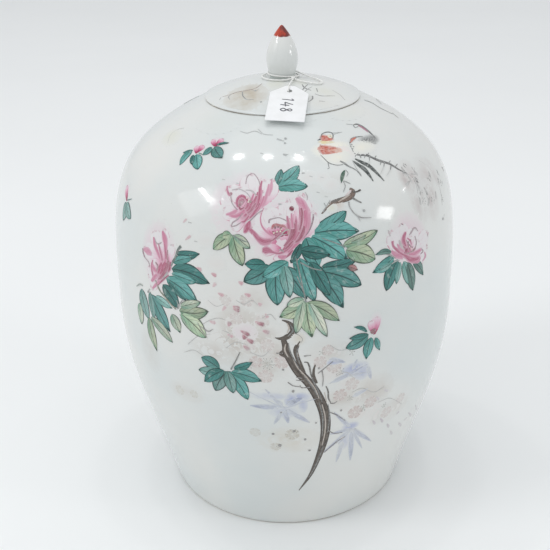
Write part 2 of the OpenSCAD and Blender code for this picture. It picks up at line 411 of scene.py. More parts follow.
def knob_outline():
    """The bud's half section, from its foot in the glaze to its tip"""
    low = [(KNOB_FOOT_R, 0), (KNOB_FOOT_R + 0.4, 3), (KNOB_R, KNOB_WIDE_Z - 4.5)]
    low.append((KNOB_R, KNOB_WIDE_Z))
    high = [(KNOB_R, KNOB_WIDE_Z), (KNOB_R, KNOB_WIDE_Z + 6), (0.66 * KNOB_R, KNOB_H - 7)]
    high.append((KNOB_TIP_R, KNOB_H - KNOB_TIP_R / 2))
    line = np.vstack([
        [(0, -0.6), (KNOB_FOOT_R + 0.1, -0.6), (KNOB_FOOT_R + 0.35, -0.15)],
        curve(low, 24, 0.02, 1),
        curve(high, 30)[1:],
        [(KNOB_TIP_R / 2, KNOB_H - KNOB_TIP_R / 6), (0, KNOB_H)],
    ])
    return line + (0, KNOB_SEAT)


jar = turned("jar_body", jar_outline(), 224)
lid = turned("domed_lid", lid_outline(), 192)
knob = turned("bud_knob", knob_outline(), 72)

# ---------------------------------------------------------------- finishes


def srgb(r, g, b):
    return tuple(
        v / 12.92 if v <= 0.04045 else ((v + 0.055) / 1.055) ** 2.4
        for v in (r / 255, g / 255, b / 255)
    )


class Finish:
    """A material and short words for the nodes that it is made of"""

    def __init__(self, name, **surface):
        self.material = bpy.data.materials.new(name)
        self.material.use_nodes = True
        self.tree = self.material.node_tree
        self.tree.nodes.clear()
        self.surface = self.node("BsdfPrincipled", surface)
        self.node("OutputMaterial", {"Surface": self.surface.outputs["BSDF"]})

    def node(self, kind, inputs=None, **settings):
        n = self.tree.nodes.new("ShaderNode" + kind)
        for key, value in settings.items():
            setattr(n, key, value)
        for key, value in (inputs or {}).items():
            self.put(n, key, value)
        return n

    def put(self, n, key, value):
        socket = n.inputs[key]
        if isinstance(value, bpy.types.NodeSocket):
            self.tree.links.new(value, socket)
        elif socket.type == "RGBA" and len(value) == 3:
            socket.default_value = (*value, 1)
        else:
            socket.default_value = value

    def place(self):
        return self.node("TexCoord").outputs["Object"]

    def uv(self):
        split = self.node("SeparateXYZ", {0: self.node("TexCoord").outputs["UV"]})
        return split.outputs[0], split.outputs[1]

    def height(self):
        return self.node("SeparateXYZ", {0: self.place()}).outputs[2]

    def paint(self):
        n = self.node("Attribute", attribute_name="enamel")
        return n.outputs["Color"], n.outputs["Alpha"]

    def sum(self, op, a, b=0.0, c=0.0, clamp=False):
        n = self.node("Math", {0: a, 1: b, 2: c}, operation=op, use_clamp=clamp)
        return n.outputs[0]

    def times(self, a, b):
        return self.sum("MULTIPLY", a, b)

    def plus(self, a, b):
        return self.sum("ADD", a, b)

    def off_middle(self):
        """How far a place is off the middle line of its stroke, 1 at either side"""
        return self.sum("ABSOLUTE", self.sum("MULTIPLY_ADD", self.uv()[0], 2, -1))

    def streaks(self, across, along, scale, detail=2.0, rough=0.5):
        """Noise stretched along the stroke"""
        u, v = self.uv()
        where = self.vector(self.times(u, across), self.times(v, along))
        return self.noise(where, scale, detail, rough)

    def vector(self, x, y, z=0.0):
        return self.node("CombineXYZ", {0: x, 1: y, 2: z}).outputs[0]

    def noise(self, where, scale, detail=2.0, rough=0.5):
        inputs = {"Vector": where, "Scale": scale, "Detail": detail, "Roughness": rough}
        return self.node("TexNoise", inputs).outputs["Fac"]

    def step(self, value, low, high, to_low=0.0, to_high=1.0):
        inputs = {0: value, 1: low, 2: high, 3: to_low, 4: to_high}
        return self.node("MapRange", inputs, interpolation_type="SMOOTHSTEP").outputs[0]

    def mix(self, factor, a, b, blend="MIX"):
        n = self.node("Mix", {0: factor, 6: a, 7: b}, data_type="RGBA", blend_type=blend)
        return n.outputs[2]

    def ramp(self, factor, *stops):
        n = self.node("ValToRGB", {0: factor})
        n.color_ramp.elements.remove(n.color_ramp.elements[1])
        for i, (at, colour) in enumerate(stops):
            e = n.color_ramp.elements[0] if i == 0 else n.color_ramp.elements.new(at)
            e.position, e.color = at, (*colour, 1)
        return n.outputs[0]

    def bump(self, height, depth, strength=1.0):
        inputs = {"Height": height, "Distance": depth, "Strength": strength}
        return self.node("Bump", inputs).outputs[0]

    def set(self, **inputs):
        for key, value in inputs.items():
            self.put(self.surface, key.replace("_", " "), value)
        return self.material


WHITE_COOL, WHITE_WARM = srgb(213, 218, 217), srgb(221, 222, 219)


def porcelain_white(f):
    """The body's white, with slow cool and warm drifts and fine specks under the glaze"""
    where = f.place()
    white = f.mix(f.step(f.noise(where, 11, 3), 0.35, 0.65), WHITE_COOL, WHITE_WARM)
    specks = f.node("TexVoronoi", {"Vector": where, "Scale": 260.0})
    near = f.step(specks.outputs["Distance"], 0.035, 0.06, 1, 0)
    few = f.step(f.noise(where, 47, 1), 0.66, 0.7)
    return f.mix(f.times(near, f.times(few, 0.5)), white, srgb(150, 140, 125))


def glaze_surface(f):
    """Slow waves and a fine orange peel in the fired glaze"""
    where = f.place()
    waves = f.bump(f.noise(where, 22, 1), 0.00022)
    peel = f.node("Bump", {"Height": f.noise(where, 520, 2), "Distance": 0.000012})
    f.put(peel, "Normal", waves)
    rough = f.step(f.noise(where, 60, 3), 0.3, 0.75, 0.07, 0.13)
    return f.set(Roughness=rough, Normal=peel.outputs[0], IOR=1.5)


def white_glaze():
    f = Finish("clear glaze over white porcelain")
    f.set(Base_Color=porcelain_white(f), Subsurface_Weight=0.06, Subsurface_Scale=0.004)
    f.put(f.surface, "Subsurface Radius", (1.0, 0.9, 0.8))
    return glaze_surface(f)


def bare_biscuit():
    f = Finish("bare fired clay")
    where = f.place()
    grain = f.noise(where, 900, 3, 0.7)
    stain = f.step(f.noise(where, 70, 4), 0.4, 0.7)
    clay = f.mix(stain, srgb(214, 205, 190), srgb(178, 160, 136))
    return f.set(Base_Color=clay, Roughness=0.82, Normal=f.bump(grain, 0.0001))


def rim_stain():
    f = Finish("stained unglazed rim")
    where = f.place()
    dirt = f.step(f.noise(where, 120, 4, 0.6), 0.3, 0.7)
    brown = f.mix(dirt, srgb(212, 208, 202), srgb(172, 165, 156))
    grain = f.noise(where, 800, 3)
    return f.set(Base_Color=brown, Roughness=0.7, Normal=f.bump(grain, 0.00006))


def knob_glaze():
    """The jar's glaze, greyer over the knob's lowest 5 mm, with an iron-red tip brushed on"""
    f = Finish("knob glaze with iron red tip")
    where, up = f.place(), f.height()
    low = KNOB_SEAT * MM
    # the white is mixed towards grey over the lowest 5 mm above the knob's seat
    greyer_foot = f.step(up, low, low + 0.005, 1, 0)
    white = f.mix(f.times(greyer_foot, 0.6), porcelain_white(f), srgb(172, 182, 178))
    wander = f.sum("MULTIPLY_ADD", f.noise(where, 160, 2), 0.0022, up)
    edge = low + 0.0265
    red = f.mix(f.step(f.noise(where, 190, 3), 0.42, 0.6), srgb(182, 66, 44), srgb(112, 46, 42))
    brushed = f.step(wander, edge, edge + 0.0006)
    f.set(Base_Color=f.mix(brushed, white, red))
    return glaze_surface(f)


def enamel(f, colour, cover, relief, ground=None):
    """Overglaze colour that lets what is under it show where it is thin"""
    f.set(Base_Color=f.mix(cover, ground or porcelain_white(f), colour), IOR=1.5)
    where = f.place()
    rough = f.step(f.noise(where, 60, 3), 0.3, 0.75, 0.1, 0.2)
    waves = f.bump(f.noise(where, 22, 1), 0.00022)
    grain = f.node("Bump", {"Height": relief, "Distance": 0.00004, "Normal": waves})
    return f.set(Roughness=rough, Normal=grain.outputs[0])


def leaf_enamel():
    """A leaf: dark outline and veins, one half washed darker, streaks towards the tip"""
    f = Finish("leaf enamel")
    tone, cover = f.paint()
    u, v = f.uv()
    side = f.off_middle()
    where = f.place()
    brush = f.streaks(9, 1.6, 2.5, 3, 0.6)
    patchy = f.noise(where, 260, 2)
    half = f.step(u, 0.38, 0.72, 0.0, 0.45)
    heel = f.step(v, 0.05, 0.7, 0.45, 0.0)
    tipped = f.step(v, 0.72, 1.0, 0.0, 0.5)
    uneven = f.plus(tipped, f.sum("MULTIPLY_ADD", brush, 0.9, -0.5))
    dark = f.sum("ADD", f.plus(half, heel), uneven, clamp=True)
    deep = f.mix(1.0, tone, srgb(124, 186, 178), "MULTIPLY")
    wash = f.mix(dark, tone, deep)
    wash = f.mix(f.step(patchy, 0.58, 0.75, 0, 0.28), wash, srgb(215, 226, 220))
    ink = f.mix(1.0, tone, srgb(70, 78, 80), "MULTIPLY")
    hair = f.streaks(14, 1.2, 2.2, 2, 0.5)
    wash = f.mix(f.step(hair, 0.58, 0.66, 0.0, 0.4), wash, deep)
    wash = f.mix(f.step(hair, 0.3, 0.4, 0.35, 0.0), wash, f.mix(0.5, tone, srgb(225, 235, 230)))
    rib = f.step(side, 0.03, 0.11, 0.85, 0.0)
    slant = f.sum("FRACT", f.sum("MULTIPLY_ADD", v, 4.5, f.times(side, -1.9)))
    vein = f.times(f.step(slant, 0.05, 0.15, 0.6, 0.0), f.step(side, 0.75, 0.95, 1, 0))
    rim = f.times(f.step(side, 0.8, 0.93), f.step(brush, 0.25, 0.5, 0.4, 0.9))
    end = f.step(v, 0.93, 0.98, 0, 0.8)
    line = f.sum("MAXIMUM", f.sum("MAXIMUM", rib, vein), f.sum("MAXIMUM", rim, end))
    return enamel(f, f.mix(line, wash, ink), cover, f.plus(line, brush))


def petal_enamel():
    """A petal: rose deepest at its heel, fading to white, with fine brushed lines"""
    f = Finish("rose enamel")
    depth_colour, cover = f.paint()
    depth = f.node("SeparateColor", {0: depth_colour}).outputs[0]
    v = f.uv()[1]
    side = f.off_middle()
    fine = f.streaks(16, 1, 2.0, 3, 0.65)
    broad = f.streaks(5, 1.5, 1.6, 2)
    reach = f.sum("MULTIPLY_ADD", fine, 0.5, f.sum("MULTIPLY_ADD", broad, 0.45, v))
    shade = f.plus(f.sum("MULTIPLY_ADD", depth, -1.0, reach), 0.06)
    tone = f.ramp(
        shade,
        (0.0, srgb(152, 52, 86)),
        (0.2, srgb(182, 86, 120)),
        (0.38, srgb(204, 130, 158)),
        (0.58, srgb(218, 170, 190)),
        (0.82, srgb(220, 198, 208)),
        (1.0, srgb(221, 217, 219)),
    )
    streak = f.step(fine, 0.6, 0.68, 0.0, 0.45)
    tone = f.mix(f.times(streak, f.step(v, 0.3, 1.0, 1, 0.35)), tone, srgb(186, 84, 122))
    rim = f.sum("MAXIMUM", f.step(side, 0.86, 0.96), f.step(v, 0.93, 0.985))
    rim = f.times(rim, f.step(broad, 0.35, 0.6, 0.15, 0.75))
    return enamel(f, f.mix(rim, tone, srgb(190, 92, 128)), cover, f.plus(rim, fine))


def brush_enamel():
    """Ink and colour strokes, a little dry where the brush ran out"""
    f = Finish("brushed enamel")
    tone, cover = f.paint()
    hairs = f.streaks(4.5, 1.6, 1.8, 3, 0.6)
    grain = f.noise(f.place(), 700, 3, 0.6)
    thin = f.times(f.step(hairs, 0.2, 0.55, 0.55, 1.0), f.step(grain, 0.3, 0.6, 0.7, 1.0))
    colour = f.mix(f.step(hairs, 0.35, 0.7), tone, f.mix(1.0, tone, srgb(190, 186, 182), "MULTIPLY"))
    return enamel(f, colour, f.times(cover, thin), hairs)


def rose_strokes():
    """Wet rose strokes over the petals, streaked along and soft at both sides"""
    f = Finish("rose brush strokes")
    tone, cover = f.paint()
    v = f.uv()[1]
    side = f.off_middle()
    hairs = f.streaks(7, 1.1, 2.0, 3, 0.65)
    light = f.mix(0.4, tone, srgb(222, 184, 200))
    colour = f.mix(f.step(hairs, 0.42, 0.62), tone, light)
    dark = f.mix(1.0, tone, srgb(190, 150, 170), "MULTIPLY")
    colour = f.mix(f.step(hairs, 0.3, 0.4, 0.7, 0.0), colour, dark)
    soft = f.times(cover, f.step(side, 0.4, 1.0, 1.0, 0.15))
    soft = f.times(soft, f.step(v, 0.85, 1.0, 1.0, 0.3))
    return enamel(f, colour, soft, hairs, srgb(211, 178, 192))


def bark_enamel():
    """The trunk: brown-grey wash, knots and broken dark lines along it"""
    f = Finish("bark enamel")
    tone, cover = f.paint()
    side = f.off_middle()
    along = f.streaks(3.2, 14, 1.4, 4, 0.65)
    rings = f.streaks(1, 40, 1.6, 2)
    wash = f.ramp(
        f.sum("MULTIPLY_ADD", rings, 0.35, f.times(along, 0.75)),
        (0.3, srgb(46, 40, 38)),
        (0.48, srgb(84, 76, 70)),
        (0.62, srgb(118, 110, 102)),
        (0.8, srgb(170, 162, 152)),
    )
    colour = f.mix(0.35, wash, tone)
    edge = f.step(side, 0.72, 0.92, 0, 0.85)
    colour = f.mix(f.times(edge, f.step(along, 0.3, 0.5, 0.5, 1)), colour, srgb(52, 42, 40))
    return enamel(f, colour, cover, along)


def wash_enamel():
    """Thin colour spread with a wet brush, gone to nothing at its edge"""
    f = Finish("thin wash")
    tone, cover = f.paint()
    cloud = f.noise(f.place(), 90, 3, 0.6)
    return enamel(f, tone, f.times(cover, f.step(cloud, 0.25, 0.7, 0.35, 1.0)), cloud)


def cotton(name, colour, shade):
    f = Finish(name, **{"Sheen Weight": 0.25, "Sheen Roughness": 0.5, "Roughness": 0.85})
    fibre = f.streaks(3, 160, 4, 3, 0.7)
    lint = f.noise(f.place(), 2600, 2)
    white = f.mix(f.step(fibre, 0.3, 0.7), colour, shade)
    return f.set(Base_Color=white, Normal=f.bump(f.plus(fibre, lint), 0.00008))


def card_paper():
    f = Finish("smooth white card", Roughness=0.62)
    where = f.place()
    fibre = f.noise(where, 1500, 4, 0.7)
    cloud = f.noise(where, 130, 2)
    white = f.mix(f.step(cloud, 0.3, 0.7), srgb(240, 241, 242), srgb(234, 235, 235))
    return f.set(Base_Color=white, Normal=f.bump(fibre, 0.00002))


def pen_ink():
    f = Finish("grey pen line", Roughness=0.5)
    skip = f.noise(f.place(), 1400, 2)
    ink = f.mix(f.step(skip, 0.35, 0.7), srgb(58, 58, 66), srgb(104, 104, 112))
    return f.set(Base_Color=ink, Normal=f.bump(skip, 0.00001))


GLAZE, BISCUIT, STAIN, PEN = white_glaze(), bare_biscuit(), rim_stain(), pen_ink()
LEAF, PETAL, BRUSH, ROSE = leaf_enamel(), petal_enamel(), brush_enamel(), rose_strokes()
BARK, WASH = bark_enamel(), wash_enamel()
COTTON = cotton("twisted white cotton", srgb(246, 246, 244), srgb(226, 226, 222))


def finish_by_place(piece, materials, choose):
    """Give every face the material whose number choose(height, radius) says"""
    for m in materials:
        piece.data.materials.append(m)
    for face in piece.data.polygons:
        c = face.center
        face.material_index = choose(c.z / MM, math.hypot(c.x, c.y) / MM)


def jar_finish(z, r):
    """Bare clay on the foot ring and a stained rim; glaze on all the rest"""
    if z < 0.8:
        return 1
    return 2 if z > RIM_Z - 0.6 and r < MOUTH_R + 0.1 else 0


def lid_finish(z, r):
    """A stained edge, and bare clay on the seat and the outside of the flange"""
    if r > MOUTH_R - 0.3 and z < LID_SEAT + 0.6:
        return 2
    return 1 if z < LID_SEAT + 0.1 and r > FLANGE_IN_R + 0.2 else 0


finish_by_place(jar, [GLAZE, BISCUIT, STAIN], jar_finish)
finish_by_place(lid, [GLAZE, BISCUIT, STAIN], lid_finish)
knob.data.materials.append(knob_glaze())
card_piece.data.materials.append(card_paper())
for piece in (string_piece, knot_piece, lead_piece):
    piece.data.materials.clear()
    piece.data.materials.append(COTTON)

for piece, body, slot, *nodes in (
    (jar, "jar", "porcelain", "lower_section", "upper_section"),
    (lid, "lid", "porcelain", "lid"),
    (knob, "lid", "knob_glaze", "knob"),
    (string_piece, "string", "thread", "tag_string"),
    (knot_piece, "string", "thread", "string_knot"),
    (lead_piece, "tag", "thread", "tag_lead"),
    (card_piece, "tag", "card", "tag_card"),
):
    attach(piece, body)
    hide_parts(*nodes)

# ---------------------------------------------------------------- painting

# Enamel and ink tones
TONES = {
    "teal": (100, 160, 156), "deep_teal": (62, 122, 118), "grey_teal": (138, 176, 170),
    "olive": (184, 194, 166), "pale_olive": (204, 211, 190), "dark_leaf": (96, 118, 104),
    "slate_leaf": (108, 142, 134), "dark_ink_leaf": (62, 84, 80), "red_brown": (138, 76, 88),
    "rose_leaf": (205, 150, 150), "blossom_leaf": (158, 152, 152), "rose": (226, 194, 208),
    "rose_pale": (220, 194, 206), "rose_mid": (188, 110, 138), "rose_deep": (164, 74, 104),
    "red_centre": (186, 84, 96), "petal_ink": (150, 112, 128), "crimson": (136, 42, 70),
    "crimson_soft": (208, 120, 142), "petal_line": (220, 190, 190), "violet": (150, 160, 200),
    "violet_pale": (190, 200, 222), "violet_ink": (120, 130, 170), "violet_pink": (170, 140, 165),
    "bark": (72, 66, 60), "bark_light": (186, 170, 156), "bark_warm": (128, 92, 74),
    "bark_wash": (190, 165, 145), "olive_wash": (212, 212, 190), "olive_ink": (120, 126, 100),
    "ink": (52, 52, 54), "faded_ink": (118, 112, 112), "grey": (176, 176, 176),
    "charcoal": (44, 46, 48), "feather": (44, 56, 54), "cream": (243, 236, 214),
    "yellow": (243, 222, 150), "orange": (214, 92, 52), "orange_fade": (236, 160, 118),
    "bird_pink": (244, 218, 210), "blossom": (192, 184, 182), "haze": (194, 186, 178),
    "lid_haze": (184, 174, 156), "breast": (200, 72, 36), "blossom_pink": (214, 196, 192),
    "blossom_beige": (206, 198, 182),
}
TONES = {name: srgb(*tone) for name, tone in TONES.items()}


def on_wall(start, right, up, proud):
    """Points on the jar's outside, from millimetres right and up from a starting place"""
    s = np.clip(start[1] + up, 0.5, wall_length[-1] - 0.2)
    r, z = (np.interp(s, wall_length, wall_line[:, k]) for k in (0, 1))
    out, rise = np.interp(s, wall_length, wall_way[:, 1]), -np.interp(s, wall_length, wall_way[:, 0])
    a = start[0] / BELLY_R + right / r
    r, z = r + out * proud, z + rise * proud
    return np.stack([r * np.sin(a), -r * np.cos(a), z], 1)


def wall_step(start, end):
    """Millimetres right and up from one place on the jar to another"""
    r = np.interp(end[1], wall_length, wall_line[:, 0])
    return np.array([(end[0] - start[0]) / BELLY_R * r, end[1] - start[1]])


def on_lid(start, right, up, proud):
    x, y = start[0] + right, start[1] + up
    over = np.minimum(1, (MOUTH_R - 1.6) / np.maximum(np.hypot(x, y), 1))
    x, y = x * over, y * over
    top = np.stack([x, y, dome_z(x, y)], 1)
    out = top - (0, 0, DOME_CENTRE)
    return top + out / DOME_R * np.array(proud)[:, None]


def lid_step(start, end):
    return np.array([end[0] - start[0], end[1] - start[1]])


def shape(name, across, along, width_at):
    """A flat piece one long and one wide, narrowed row by row"""
    deselect()
    bpy.ops.mesh.primitive_grid_add(x_subdivisions=across, y_subdivisions=along, size=1)
    piece = bpy.context.object
    piece.name = name
    co = np.array([v.co for v in piece.data.vertices])
    u, v = co[:, 0] + 0.5, co[:, 1] + 0.5
    bpy.context.tool_settings.mesh_select_mode = (True, False, False)
    for row in sorted(set(np.round(v, 4))):
        edit()
        bpy.ops.mesh.select_all(action="DESELECT")
        edit("OBJECT")
        piece.data.vertices.foreach_set("select", np.abs(v - row) < 1e-3)
        edit()
        bpy.ops.transform.resize(value=(width_at(row), 1, 1), center_override=(0, 0, 0))
        edit("OBJECT")
    x = np.array([vert.co.x for vert in piece.data.vertices])
    rim = (u < 1e-3) | (u > 1 - 1e-3) | (v < 1e-3) | (v > 1 - 1e-3)
    piece.hide_render = True
    return {"piece": piece, "u": u, "v": v, "x": x, "rim": rim}


def leaf_width(v):
    return max(0.03, 2.45 * v**0.62 * (1 - v) ** 0.72)


def petal_width(v):
    return max(0.2, 1.42 * v**0.6 * (1 - v**4) ** 0.5)


LEAF_SHAPE = shape("leaf shape", 6, 14, leaf_width)
PETAL_SHAPE = shape("petal shape", 8, 12, petal_width)
FLECK_SHAPE = shape("fleck shape", 4, 6, petal_width)
STROKE_SHAPE = shape("stroke shape", 2, 22, lambda v: 1)
LONG_SHAPE = shape("trunk shape", 6, 90, lambda v: 1)


def disc_shape(name, sides, cuts):
    """A flat disc one in radius, cut finer where its colour fades across it"""
    deselect()
    bpy.ops.mesh.primitive_circle_add(vertices=sides, radius=1, fill_type="TRIFAN")
    piece = bpy.context.object
    piece.name = name
    if cuts:
        edit()
        bpy.ops.mesh.select_all(action="SELECT")
        bpy.ops.mesh.subdivide(number_cuts=cuts)
        edit("OBJECT")
    co = np.array([v.co for v in piece.data.vertices])
    piece.hide_render = True
    return {"piece": piece, "x": co[:, 0], "y": co[:, 1], "far": np.hypot(co[:, 0], co[:, 1])}


ROUND_SHAPE, DOT_SHAPE = disc_shape("round shape", 20, 3), disc_shape("dot shape", 10, 0)


FIFTH, TURN = 1.2566, 6.283
RIM_DROP = 0.05  # how much lower a stroke's edge lies than its middle, in millimetres
# How many small strokes stand in one of these
STROKES_IN = {"blossom": 5, "stamens": 26, "specks": 14}


class Painter:
    """Lays copies of the shapes on the jar or the lid and joins them into one piece"""

    def __init__(self, name, body, on, step, slot="porcelain", base=0.12, depth=0.3):
        self.name, self.body, self.on, self.step, self.slot = name, body, on, step, slot
        self.base, self.depth, self.total, self.made = base, depth, 8, []

    def lift(self):
        return self.base + self.depth * min(1, len(self.made) / self.total)

    def edge(self):
        return self.lift() - RIM_DROP

    def add(self, shape, points, tone, cover, finish):
        piece = shape["piece"].copy()
        piece.data = shape["piece"].data.copy()
        piece.hide_render = False
        bpy.context.scene.collection.objects.link(piece)
        piece.data.vertices.foreach_set("co", (points * MM).astype(np.float32).ravel())
        layer = piece.data.color_attributes.new("enamel", "FLOAT_COLOR", "POINT")
        colours = np.ones((len(points), 4), np.float32)
        colours[:, :3], colours[:, 3] = tone, cover
        layer.data.foreach_set("color", colours.ravel())
        piece.data.materials.clear()
        piece.data.materials.append(finish)
        self.made.append(piece)

    def blade(self, shape, base, tip, width, tone, cover, finish, bend=0.0):
        """A leaf or petal from its base to its tip, bowed to one side by the bend"""
        way = self.step(base, tip)
        length = float(np.linalg.norm(way))
        ahead, side = way / length, np.array([way[1], -way[0]]) / length
        v = shape["v"]
        across = shape["x"] * width + bend * length * np.sin(math.pi * v)
        wave = 1 + 0.05 * np.sin(6 * shape["u"] * math.pi + len(self.made)) * v**2
        right = ahead[0] * v * wave * length + side[0] * across
        up = ahead[1] * v * wave * length + side[1] * across
        proud = np.where(shape["rim"], self.edge(), self.lift())
        self.add(shape, self.on(base, right, up, proud), tone, cover, finish)

    def leaf(self, x0, s0, x1, s1, width, tone, bend):
        tint = np.clip(np.array(TONES[tone]) * rng.uniform(0.78, 1.3), 0, 0.75)
        self.blade(LEAF_SHAPE, (x0, s0), (x1, s1), width, tint, 1.0, LEAF, bend)

    def petal(self, x0, s0, x1, s1, width, depth, bend):
        fade = 1 - 0.35 * np.clip((PETAL_SHAPE["v"] - 0.75) / 0.25, 0, 1) * (depth < 0.5)
        depth = (depth, depth, depth)
        self.blade(PETAL_SHAPE, (x0, s0), (x1, s1), width, depth, fade, PETAL, bend)

    def fleck(self, x0, s0, x1, s1, width, heel, tip, heel_cover, tip_cover):
        v = FLECK_SHAPE["v"][:, None]
        tone = np.array(TONES[heel]) * (1 - v) + np.array(TONES[tip]) * v
        edge = np.where(FLECK_SHAPE["rim"], 0.35, 1.0)
        cover = (heel_cover + (tip_cover - heel_cover) * FLECK_SHAPE["v"]) * edge
        self.blade(FLECK_SHAPE, (x0, s0), (x1, s1), width, tone, cover, BRUSH)

    def line(self, points, widths, tone, cover):
        """A stroke through the points, as wide at each as its width says"""
        start = points[0]
        flat = np.array([self.step(start, p) for p in points])
        full = [widths[min(i, len(widths) - 1)] for i in range(len(points))]
        if len(widths) != len(points):
            full = np.interp(np.linspace(0, 1, len(points)), np.linspace(0, 1, len(widths)), widths)
        way = smooth_line(np.column_stack([flat, full]), 12)
        gone = np.r_[0, np.cumsum(np.linalg.norm(np.diff(way[:, :2], axis=0), axis=1))]
        shape = LONG_SHAPE if gone[-1] > 60 else STROKE_SHAPE
        at = shape["v"] * gone[-1]
        x, y, width = (np.interp(at, gone, way[:, k]) for k in range(3))
        slope = np.gradient(way[:, :2], axis=0)
        slope /= np.linalg.norm(slope, axis=1)[:, None] + 1e-9
        dx, dy = (np.interp(at, gone, slope[:, k]) for k in range(2))
        off = (shape["u"] - 0.5) * width
        rim = (shape["u"] < 1e-3) | (shape["u"] > 1 - 1e-3)
        proud = np.where(rim, self.edge(), self.lift())
        points = self.on(start, x + dy * off, y - dx * off, proud)
        self.add(shape, points, TONES[tone], cover, self.ink(tone, max(widths)))

    def ink(self, tone, widest):
        """What a stroke is drawn with"""
        if self.slot == "card":
            return PEN
        if tone in ("rose_mid", "rose_deep", "crimson") and widest > 1.2:
            return ROSE
        return BARK if tone in ("bark", "bark_warm") and widest > 1.5 else BRUSH

    def disc(self, shape, x, s, wide, tall, tone, cover, finish, turn=0.0):
        c, t = math.cos(turn), math.sin(turn)
        right, up = shape["x"] * wide, shape["y"] * tall
        right, up = c * right - t * up, t * right + c * up
        edge = -0.02 if finish is WASH else self.edge()
        proud = np.where(shape["far"] > 0.99, edge, self.lift())
        self.add(shape, self.on((x, s), right, up, proud), TONES[tone], cover, finish)

    def wash(self, x, s, wide, tall, tone, cover):
        fade = cover * np.clip(1 - ROUND_SHAPE["far"], 0, 1) ** 0.8 * 1.3
        self.disc(ROUND_SHAPE, x, s, wide * 1.5, tall * 1.5, tone, np.clip(fade, 0, 1), WASH)

    def dot(self, x, s, radius, tone, cover):
        self.disc(DOT_SHAPE, x, s, radius, radius * rng.uniform(0.8, 1.1), tone, cover, BRUSH)

    def blossom(self, x, s, radius, tone, cover):
        start = rng.uniform(0, 6.3)
        for k in range(5):
            a = start + k * FIFTH
            tip = (x + radius * math.cos(a), s + radius * math.sin(a))
            self.fleck(x, s, *tip, radius * 1.05, tone, tone, cover * 0.5, cover)

    def stamens(self, x, s, count, radius):
        for k in range(int(count)):
            a = k / count * TURN + rng.uniform(-0.2, 0.2)
            far = radius * rng.uniform(0.6, 1.0)
            tip = (x + far * math.cos(a), s + far * math.sin(a))
            heel = (x + 0.15 * (tip[0] - x), s + 0.15 * (tip[1] - s))
            self.line([heel, tip], [0.2, 0.16], "olive_ink", 0.6)
            self.dot(*tip, 0.3, "ink", 0.65)

    def specks(self, x, s, count, spread):
        for k in range(int(count)):
            a, far = rng.uniform(0, TURN), spread * rng.uniform(0.25, 1.0)
            p = (x + far * math.cos(a), s + far * math.sin(a))
            q = (p[0] + rng.uniform(-0.9, 0.9), p[1] - rng.uniform(0.3, 1.5))
            self.line([p, q], [0.36, 0.2], "ink" if k % 2 else "faded_ink", rng.uniform(0.45, 0.8))
            if k % 3 == 0:
                self.dot(*p, rng.uniform(0.2, 0.36), "ink", 0.7)

    def paint(self, motif):
        self.total = sum(len(items) * STROKES_IN.get(kind, 1) for kind, items in motif.items())
        for kind, items in motif.items():
            for item in items:
                getattr(self, kind)(*item)

    def join(self):
        active(self.made[0])
        for piece in self.made:
            piece.select_set(True)
        bpy.ops.object.join()
        piece = self.made[0]
        piece.name = self.name
        thick = piece.modifiers.new("enamel thickness", "SOLIDIFY")
        thick.thickness, thick.offset = 0.2 * MM, -1
        bpy.ops.object.modifier_apply(modifier=thick.name)
        bpy.ops.object.shade_smooth_by_angle(angle=math.radians(40))
        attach(piece, self.body)
        return piece

